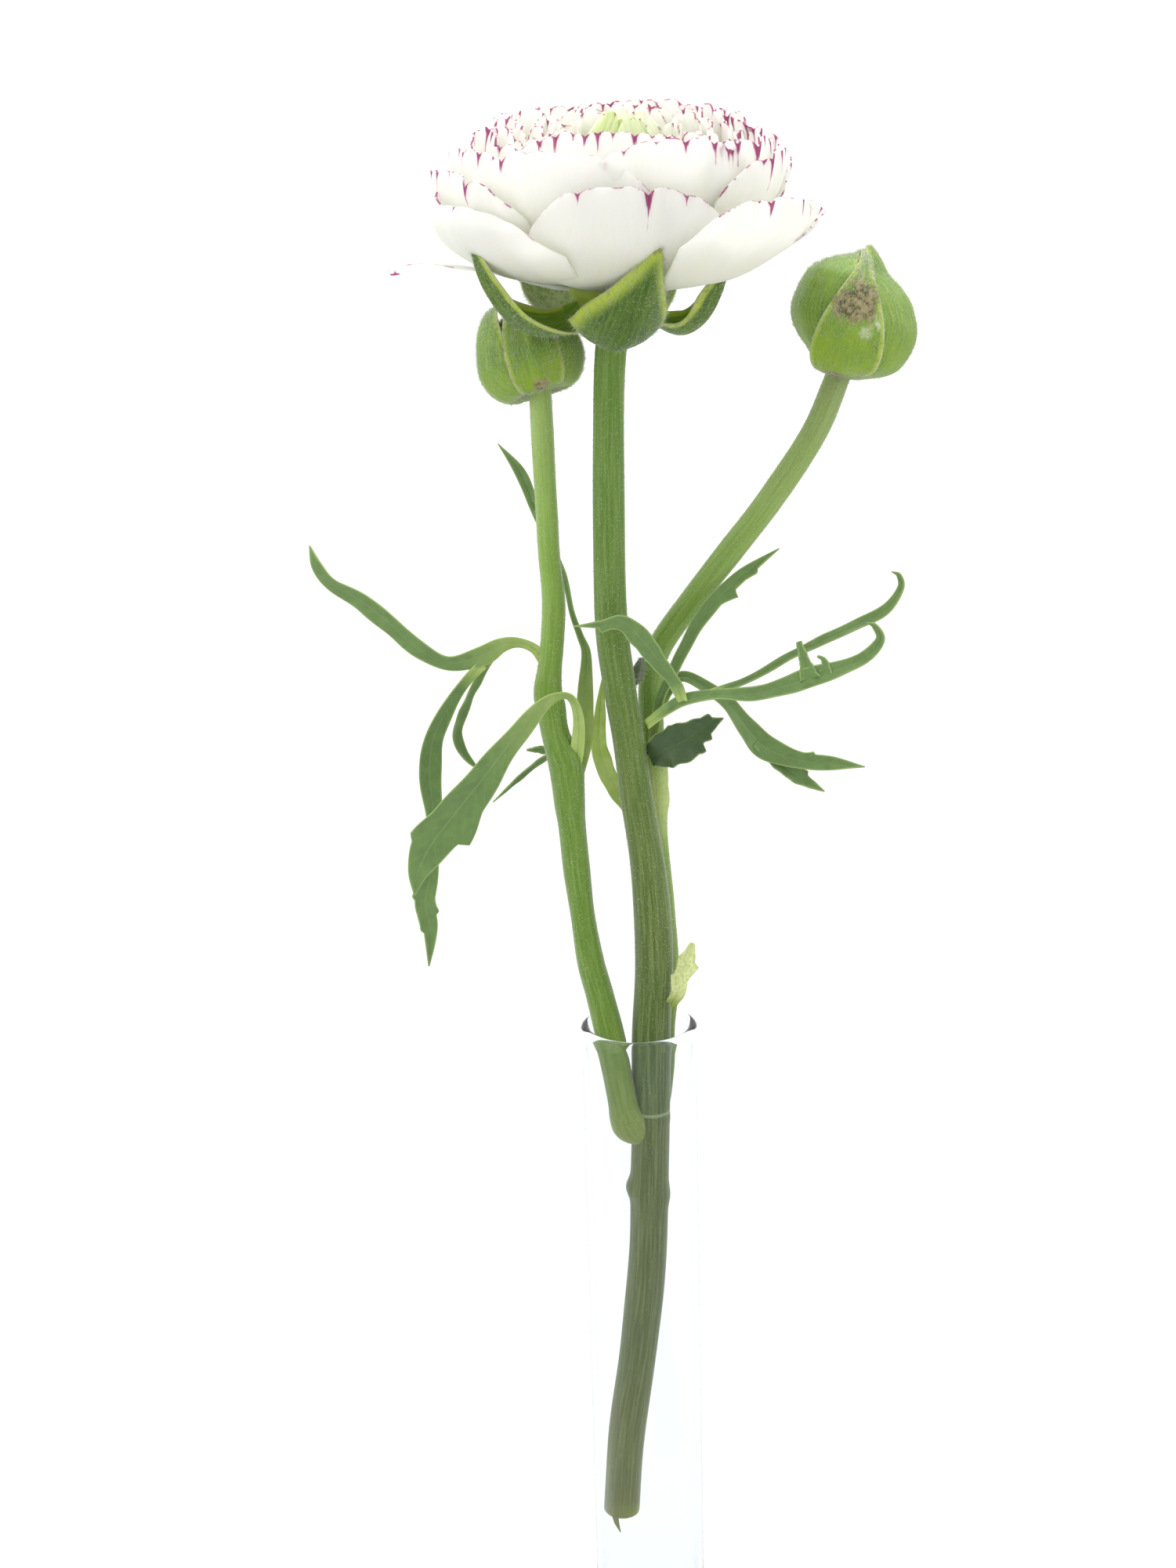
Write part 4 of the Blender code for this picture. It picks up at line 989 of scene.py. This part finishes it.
# Lobes: route of x, y, z, half width and twist in degrees; teeth (place, side, height, span);
# share of the length that is yellow-green.
LEAVES = {
    "left_forked_leaf": (
        (((-14.2, 1.9, 183.5, 1, 10), (-15.9, 2, 185.9, 0.95, 20), (-18.5, 1, 187.2, 1.15, 30),
          (-21.4, 0, 187, 1.35, 25), (-25, 0, 185.3, 1.8, 20), (-30.2, 1, 184.1, 1.35, 15),
          (-35.1, 2, 186.3, 1.5, 15), (-39.8, 3.5, 190.4, 1.65, 15), (-44.3, 5, 194, 1.65, 20),
          (-49.4, 7, 196.8, 1.45, 30), (-51.9, 8, 199.7, 1.1, 30), (-53.3, 9, 203.2, 0.15, 20)),
         (), 0.34),
        (((-24.7, 0.9, 183.7, 1, 30), (-27.2, 1, 181.4, 1, 30), (-30, 2, 177.6, 1.2, 25),
          (-33.4, 3, 171.5, 1.75, 25), (-34.6, 4, 165, 1.9, 20), (-34.4, 4, 158, 1.6, 30),
          (-34.9, 3.5, 150, 1.3, 50), (-35.6, 3, 145.5, 1.5, 20), (-36.3, 3, 141.5, 1.7, -10),
          (-35.7, 3, 137.2, 1.35, 20), (-36.2, 3, 130.4, 0.15, 30)),
         ((0.83, 1, 0.7, 0.03), (0.88, -1, 0.6, 0.03), (0.78, -1, 0.6, 0.03)), 0.1),
        (((-22.6, 0.6, 185.7, 0.8, 40), (-25.4, 3, 181.2, 0.85, 45), (-28.1, 5, 176, 1, 45),
          (-29.9, 6.5, 170.8, 1.1, 45), (-28.8, 7, 167, 0.9, 45), (-26.3, 7, 164.2, 0.12, 45)),
         (), 0.15),
    ),
    "left_front_leaf": (
        (((-10.6, 0.6, 163.6, 1.2, 10), (-9.4, -1.2, 168.6, 1.15, 10), (-8.9, -2.6, 174.6, 0.95, 20),
          (-10.3, -4.9, 179, 1, 40), (-14.2, -7, 178.7, 1.3, 35), (-19.4, -9, 173.4, 1.9, 20),
          (-24.6, -11, 167.2, 2.7, 15), (-29.4, -12, 161.6, 3.5, 12), (-33, -12.5, 157.2, 3.3, 10),
          (-35.6, -13, 152.6, 1.9, 10), (-36.5, -13, 148.2, 0.15, 10)),
         ((0.79, 1, 1.5, 0.05), (0.85, -1, 0.7, 0.04)), 0.6),
    ),
    "left_rising_leaf": (
        (((-10.2, 1.2, 162.5, 1.4, 10), (-9, 2.8, 167, 1.7, 10), (-8.2, 3.6, 171.5, 1.7, 15),
          (-7.6, 5, 178.1, 1.35, 20), (-7.3, 6, 184, 0.9, 20), (-8.3, 7, 187, 0.6, 20),
          (-9.6, 7.4, 191, 0.55, 30), (-10.8, 8.2, 197.2, 0.6, 30), (-13.2, 9, 203, 0.65, 20),
          (-15.5, 9, 209, 0.95, 15), (-17.6, 9, 214.5, 0.9, 15), (-21.1, 9, 219.2, 0.1, 15)),
         (), 0.45),
    ),
    "left_low_leaf": (
        (((-9.8, 3.6, 170, 1, 30), (-15, 7, 166.2, 0.8, 45), (-19.2, 8, 162.8, 0.75, 45),
          (-24.2, 8, 158.2, 0.12, 45)),
         (), 0.1),
        (((-13, 5, 167.6, 0.8, 20), (-15.5, 5.2, 168, 0.8, 20), (-18, 5.3, 167.9, 0.2, 20)),
         (), 0.2),
    ),
    "inner_leaf": (
        (((0.2, 3.4, 156, 1.2, 10), (-2.2, 4.4, 160, 1.5, 10), (-4.4, 5.4, 163.8, 1.6, 12),
          (-5.5, 6.4, 168, 1.4, 15), (-5.4, 7.2, 172.5, 1.1, 15), (-4.6, 8, 180, 0.12, 15)),
         (), 1),
    ),
    "right_upper_leaf": (
        (((3.2, 3.4, 167.6, 0.8, 20), (4.6, 2.4, 175.8, 0.85, 30), (7, 2.4, 181, 1, 35),
          (9.2, 3, 185.3, 1.1, 35), (12.6, 3.4, 190.6, 1.35, 35), (16.6, 4.2, 194.9, 1.35, 35),
          (20.8, 5.2, 198, 0.85, 35), (25.2, 6, 200.9, 0.12, 35)),
         ((0.74, -1, 1.3, 0.035), (0.87, -1, 0.6, 0.03)), 0.2),
    ),
    "right_forked_leaf": (
        (((2.4, -0.4, 172.9, 0.9, 30), (5.9, -2.2, 175.9, 1, 40), (8.8, -4, 177.7, 1.1, 40),
          (13.6, -5, 178.5, 1, 40), (19.4, -6, 178.7, 1.2, 30), (24.5, -7, 180, 1.45, 25),
          (28.3, -8, 181.4, 1.7, 20), (32.8, -8, 182.7, 1.35, 25), (37.4, -8, 184.6, 1.05, 30),
          (40, -8, 187.4, 0.8, 30), (39.2, -7.4, 189.6, 0.55, 30), (37.9, -7, 190.1, 0.12, 30)),
         (), 0.12),
        (((8.4, -3.8, 177.4, 0.9, 30), (7, -5, 180.7, 1.1, 20), (4.2, -6.2, 184.8, 1.45, 15),
          (1.4, -7, 188.7, 1.75, 12), (-1.3, -7, 191.2, 1.4, 10), (-4.6, -6.8, 191, 0.75, 10),
          (-9.3, -6.2, 190.7, 0.1, 10)),
         ((0.83, 1, 0.8, 0.03),), 0.15),
        (((12.2, -4.6, 178.5, 0.7, 40), (15.8, -2.6, 179.2, 0.75, 50), (20.6, -0.4, 180.6, 0.75, 50),
          (26.2, 1.6, 183.2, 0.85, 50), (32.3, 3, 185.8, 0.95, 45), (38.5, 4, 188.2, 1.05, 40),
          (42.9, 4, 190.6, 0.95, 40), (45.2, 4, 194, 0.7, 40), (44.9, 4, 196.2, 0.5, 40),
          (43.6, 4, 196.8, 0.1, 40)),
         (), 0.1),
        (((28.6, -8, 181.4, 1.7, 10), (27.9, -7.7, 184, 0.95, 10), (26.9, -7.3, 187.4, 0.45, 10)),
         (), 0),
        (((31.2, -8, 182, 1.1, 10), (31, -7.7, 184.2, 0.5, 10), (29.9, -7.5, 185, 0.2, 10)),
         (), 0),
    ),
    "right_back_leaf": (
        (((4.6, 8.9, 172.6, 0.9, 20), (6.6, 9.8, 176.6, 0.9, 30), (8.8, 9.6, 179, 0.95, 35),
          (12.6, 9.4, 177.3, 1.2, 35), (16.8, 9.6, 173.9, 1.4, 35), (20, 10, 169.4, 1.9, 25),
          (23.8, 10, 165.6, 2.1, 20), (30.3, 10, 163.4, 1.5, 25), (35.2, 10, 162.9, 1.1, 30),
          (40.4, 10, 162.2, 0.12, 30)),
         ((0.8, 1, 0.5, 0.02),), 0.1),
        (((21.6, 10, 167.4, 1.2, 25), (26, 10.2, 162.9, 1.4, 20), (29.6, 10.2, 160.2, 1.2, 25),
          (33.4, 10, 158, 0.12, 30)),
         ((0.72, 1, 0.5, 0.05),), 0),
    ),
    "right_dark_leaf": (
        (((2.9, 1, 166.9, 1.6, 10), (5.4, -0.4, 168.6, 3.1, 10), (8, -1, 169.8, 3.4, 10),
          (10.4, -0.9, 171.4, 2.5, 10), (12.6, -0.5, 172.6, 1.4, 10), (15.2, 0, 173.6, 0.12, 10)),
         ((0.62, -1, 1.2, 0.05), (0.76, -1, 0.7, 0.05), (0.86, 1, 0.6, 0.05)), 0),
    ),
}
FRONT = np.array((0.0, 1.0, 0.0))


def ribbon(bits, points, teeth, young, rng, thickness=0.42, fold=0.28, rows=120, cols=15):
    """One leaf lobe: a blade folded a little along its midrib, with teeth on its margins."""
    route = smooth_route(points, rows)
    length = route_length(route)
    u = np.linspace(0, 1, rows)
    tangent = unit(np.gradient(route[:, :3], axis=0))
    facing = unit(np.cross(tangent, FRONT))
    turn = np.radians(route[:, 4])[:, None]
    depth = unit(np.cross(facing, tangent))
    across = facing * np.cos(turn) + depth * np.sin(turn)
    lift = np.cross(tangent, across)
    half = np.maximum(route[:, 3], 0.08)
    sides = {}
    for side in (-1, 1):
        wide = half.copy()
        for at, which, height, span in teeth:
            if which == side:
                d = (u - at) / span
                wide = wide + height * np.clip(np.where(d < 0, 1 + d / 1.9, 1 - d / 0.35), 0, 1)
        uneven = 0.05 * np.sin(19 * u + rng.uniform(0, 6))
        wide = wide * (1 + uneven + 0.03 * np.sin(41 * u + rng.uniform(0, 6)))
        sides[side] = wide
    v = np.linspace(-1, 1, cols)
    width = np.where(v[None] < 0, sides[-1][:, None], sides[1][:, None])
    wave = 0.12 * np.sin(26 * u + rng.uniform(0, 6))[:, None] * v[None] ** 3 * half[:, None]
    rise = fold * half[:, None] * np.abs(v[None]) ** 1.4 + wave - 0.12 * np.exp(-(v[None] / 0.14) ** 2)
    centre = route[:, None, :3]
    grid = centre + across[:, None] * (width * v[None])[..., None] + lift[:, None] * rise[..., None]
    thick = thickness * (0.30 + 0.70 * (1 - v[None] ** 2) ** 0.7) * np.minimum(1, half / 0.5)[:, None]
    shade = np.clip(1 - u / young, 0, 1)[:, None] if 0 < young < 1 else np.full((rows, 1), float(young >= 1))
    bits.shell(grid, thick, side=v[None], half=width, along=(u * length)[:, None], young=shade)
    return grid


LEAF_HAIRS, LEAF_HAIR_LENGTH, LEAF_HAIR_RADIUS = 130, 0.45, 0.014
WOOL_HAIRS, WOOL_LENGTH = 500, 0.9
# Routes of the papery bract (x, y, z, half width, turn) and of the young bud (x, y, z, radius).
STEM_BRACT = ((5.4, -3.6, 124.6, 0.9, 25), (6.6, -4.2, 126.6, 1.2, 25), (7.4, -3.8, 129.4, 1.4, 25),
              (8.5, -3.3, 132.4, 1.5, 25), (9.4, -2.9, 135.3, 0.4, 25))
YOUNG_BUD = ((-1.2, 4.7, 171.5, 0.35), (-1.0, 4.5, 175.4, 0.4), (-0.2, 4.0, 178.4, 0.55),
             (0.9, 3.7, 180.3, 1.0), (1.5, 3.7, 181.9, 1.0), (1.9, 3.7, 183.5, 0.35))


def make_leaves(looks, rng, down):
    for name, lobes in LEAVES.items():
        bits = Bits()
        for points, teeth, young in lobes:
            grid = ribbon(bits, points, teeth, young, rng)
            for side in (-1, 1):
                roots, normals = scatter(grid, side * grid_normals(grid), LEAF_HAIRS, rng)
                down.hairs(roots, normals, LEAF_HAIR_LENGTH, LEAF_HAIR_RADIUS, rng)
        # the dark leaf takes the painted shade copy of the leaf tissue
        bits.build(name + "_look", looks["dark_leaf" if "dark" in name else "leaf"], (name,))


def make_bract(look, rng):
    bits = Bits()
    teeth = ((0.7, -1, 0.7, 0.1), (0.45, 1, 0.5, 0.1))
    ribbon(bits, STEM_BRACT, teeth, 0.0, rng, thickness=0.3, rows=50)
    bits.build("stem_bract_look", look, ("stem_bract",))


def bract_look():
    k = Look("dry_bract")
    grain = k.noise(k.vector(k.attribute("side"), k.times(k.attribute("along"), 0.5), 0.0), 3.0, 3.0)
    body = k.mix(k.step(grain, 0.3, 0.7), (0.60, 0.68, 0.24), (0.86, 0.88, 0.62))
    body = k.mix(k.step(k.height(), 0.1275, 0.1245), body, (0.36, 0.46, 0.10))
    return k.finish(body, k.bump(grain, 0.4, 0.0002), 0.4, glow=0.5)


def make_young_bud(looks, rng, down):
    bits = Bits()
    grid, out = bits.tube(smooth_route(YOUNG_BUD, 60), 24, lambda u, a: 1 + 0.06 * np.sin(5 * a + 6 * u))
    bits.build("young_bud_look", looks["wool"], ("young_bud",))
    roots, normals = scatter(grid, out, WOOL_HAIRS, rng)
    down.hairs(roots, normals + UPWARD_LEAN, WOOL_LENGTH, HAIR_RADIUS, rng)


# ---------------------------------------------------------------- stage, light and camera

CAMERA_PLACE = (-7.7, -305.9, 237.5)
CAMERA_PITCH, CAMERA_ROLL = math.radians(13.7), math.radians(1.556)
CAMERA_LENS = 43.0


def make_camera():
    data = bpy.data.cameras.new("camera")
    data.sensor_fit = "VERTICAL"
    data.sensor_height = 36.0
    data.lens = CAMERA_LENS
    data.clip_start, data.clip_end = 0.01, 50.0
    obj = bpy.data.objects.new("camera", data)
    up = Vector((0, math.sin(CAMERA_PITCH), math.cos(CAMERA_PITCH)))
    ahead = Vector((0, math.cos(CAMERA_PITCH), -math.sin(CAMERA_PITCH)))
    right = Vector((1, 0, 0))
    x = right * math.cos(CAMERA_ROLL) - up * math.sin(CAMERA_ROLL)
    y = up * math.cos(CAMERA_ROLL) + right * math.sin(CAMERA_ROLL)
    turn = np.array((x, y, -ahead)).T
    matrix = np.eye(4)
    matrix[:3, :3] = turn
    matrix[:3, 3] = np.array(CAMERA_PLACE) * MM
    obj.matrix_world = Matrix(matrix.tolist())
    bpy.context.scene.collection.objects.link(obj)
    bpy.context.scene.camera = obj


def make_floor():
    mesh = bpy.data.meshes.new("floor")
    rings, spokes = (0.0, 0.3, 1.0, 4.0, 12.0), 48
    verts = [(r * math.cos(a), r * math.sin(a), 0.0) for r in rings[1:]
             for a in np.linspace(0, 2 * np.pi, spokes, endpoint=False)]
    faces = [tuple(range(spokes))]
    for k in range(len(rings) - 2):
        for j in range(spokes):
            a, b = k * spokes + j, k * spokes + (j + 1) % spokes
            faces.append((a, a + spokes, b + spokes, b))
    mesh.from_pydata(verts, [], faces)
    mesh.materials.append(floor_look())
    obj = bpy.data.objects.new("floor", mesh)
    bpy.context.scene.collection.objects.link(obj)


LIGHTS = (  # name, place and target (m), size (m), power (W)
    ("top_soft", (-0.15, 0.05, 1.15), (0, 0, 0.22), 1.0, 11.0),
    ("left_soft", (-1.0, -0.55, 0.55), (0, 0, 0.2), 0.8, 3.2),
    ("right_soft", (1.0, -0.45, 0.5), (0, 0, 0.2), 0.8, 2.4),
)
WORLD_FRONT, WORLD_BACK = 0.80, 1.20


def make_world():
    """White all round, brightest behind the object as on a lit cyclorama."""
    world = bpy.data.worlds.new("white_studio")
    world.use_nodes = True
    tree = world.node_tree
    place = tree.nodes.new("ShaderNodeTexCoord")
    split = tree.nodes.new("ShaderNodeSeparateXYZ")
    span = tree.nodes.new("ShaderNodeMapRange")
    tree.links.new(place.outputs["Generated"], split.inputs[0])
    tree.links.new(split.outputs["Y"], span.inputs["Value"])
    limits = {"From Min": -0.55, "From Max": 0.25, "To Min": WORLD_FRONT, "To Max": WORLD_BACK}
    for key, value in limits.items():
        span.inputs[key].default_value = value
    background = tree.nodes["Background"]
    background.inputs[0].default_value = (1.0, 1.0, 1.0, 1.0)
    tree.links.new(span.outputs[0], background.inputs[1])
    bpy.context.scene.world = world


def make_lights():
    for name, place, target, size, power in LIGHTS:
        data = bpy.data.lights.new(name, "AREA")
        data.shape = "DISK"
        data.size = size
        data.energy = power
        obj = bpy.data.objects.new(name, data)
        obj.location = place
        aim = Vector(target) - Vector(place)
        obj.rotation_euler = aim.to_track_quat("-Z", "Y").to_euler()
        obj.visible_camera = False
        bpy.context.scene.collection.objects.link(obj)
    bpy.context.scene.view_settings.view_transform = "Standard"


# Stem colours by height in mm.
MAIN_COLOURS = (
    (24, (0.18, 0.22, 0.02)), (29, (0.115, 0.135, 0.02)), (60, (0.082, 0.112, 0.018)),
    (100, (0.075, 0.105, 0.010)), (108, (0.052, 0.090, 0.012)), (135, (0.068, 0.112, 0.012)),
    (165, (0.085, 0.145, 0.018)), (200, (0.092, 0.185, 0.016)), (240, (0.11, 0.215, 0.016)))
LEFT_COLOURS = (
    (97, (0.27, 0.32, 0.06)), (105, (0.17, 0.25, 0.03)), (125, (0.10, 0.20, 0.012)),
    (170, (0.11, 0.22, 0.015)), (183, (0.15, 0.27, 0.025)), (205, (0.21, 0.36, 0.05)), (228, (0.33, 0.47, 0.13)))
RIGHT_COLOURS = (
    (97, (0.12, 0.19, 0.03)), (150, (0.18, 0.29, 0.05)), (160, (0.40, 0.50, 0.15)), (168, (0.16, 0.28, 0.04)),
    (190, (0.16, 0.29, 0.03)), (208, (0.22, 0.34, 0.07)), (232, (0.25, 0.32, 0.11)))


def make_looks():
    return {
        "main_stem": stem_look("main_stem_green", MAIN_COLOURS, ring=104.4),
        "left_stem": stem_look("left_stem_green", LEFT_COLOURS),
        "right_stem": stem_look("right_stem_green", RIGHT_COLOURS, streak=(0.42, 0.52, 0.22)),
        "petal": petal_look(),
        "sepal": sepal_look("sepal_green_tissue", (0.045, 0.100, 0.006), (0.105, 0.205, 0.012),
                            (0.27, 0.35, 0.16)),
        # lighter than the front sepal tissue, partly painted backlight through the thin side and back sepals
        "thin_sepal": sepal_look("sepal_thin_margin_tissue", (0.060, 0.125, 0.010), (0.13, 0.24, 0.02),
                                 (0.27, 0.35, 0.16), 0.8),
        "receptacle": sepal_look("receptacle_tissue", (0.22, 0.36, 0.05), (0.36, 0.52, 0.08),
                                 (0.42, 0.52, 0.22)),
        "bud": sepal_look("bud_green_tissue", (0.145, 0.27, 0.04), (0.28, 0.45, 0.055), (0.50, 0.60, 0.38),
                          0.9, (0.46, 0.60, 0.09)),
        "leaf": leaf_look(),
        # a darker copy of the leaf tissue: painted shade for the leaf deep among the others
        "dark_leaf": leaf_look("dark_leaf_tissue", (0.028, 0.060, 0.014), (0.085, 0.14, 0.04)),
        "pistil": pistil_look(),
        "down": hair_look(),
        "wool": hair_look("grey_bud_wool", (0.10, 0.15, 0.07), (0.36, 0.40, 0.30)),
        "glass": glass_look(),
        "bract": bract_look(),
    }


SEED = 20


def main():
    looks = make_looks()
    rng = np.random.default_rng(SEED)
    make_camera()
    make_floor()
    make_world()
    make_lights()
    make_vase(looks["glass"])
    make_stems(looks, rng)
    make_petals(looks["petal"], rng)
    make_pistils(looks["pistil"])
    make_receptacle(looks["receptacle"])
    down = Bits()
    make_sepals(looks, rng, down)
    down.build("sepal_down", looks["down"])
    for name in BUDS:
        bud_down = Bits()
        make_bud(name, looks["bud"], rng, bud_down)
        bud_down.build(f"{name}_down", looks["down"])
        make_bud_core(name, looks["petal"], rng)
    leaf_down = Bits()
    make_leaves(looks, rng, leaf_down)
    make_young_bud(looks, rng, leaf_down)
    leaf_down.build("leaf_down", looks["down"])
    make_bract(looks["bract"], rng)


main()
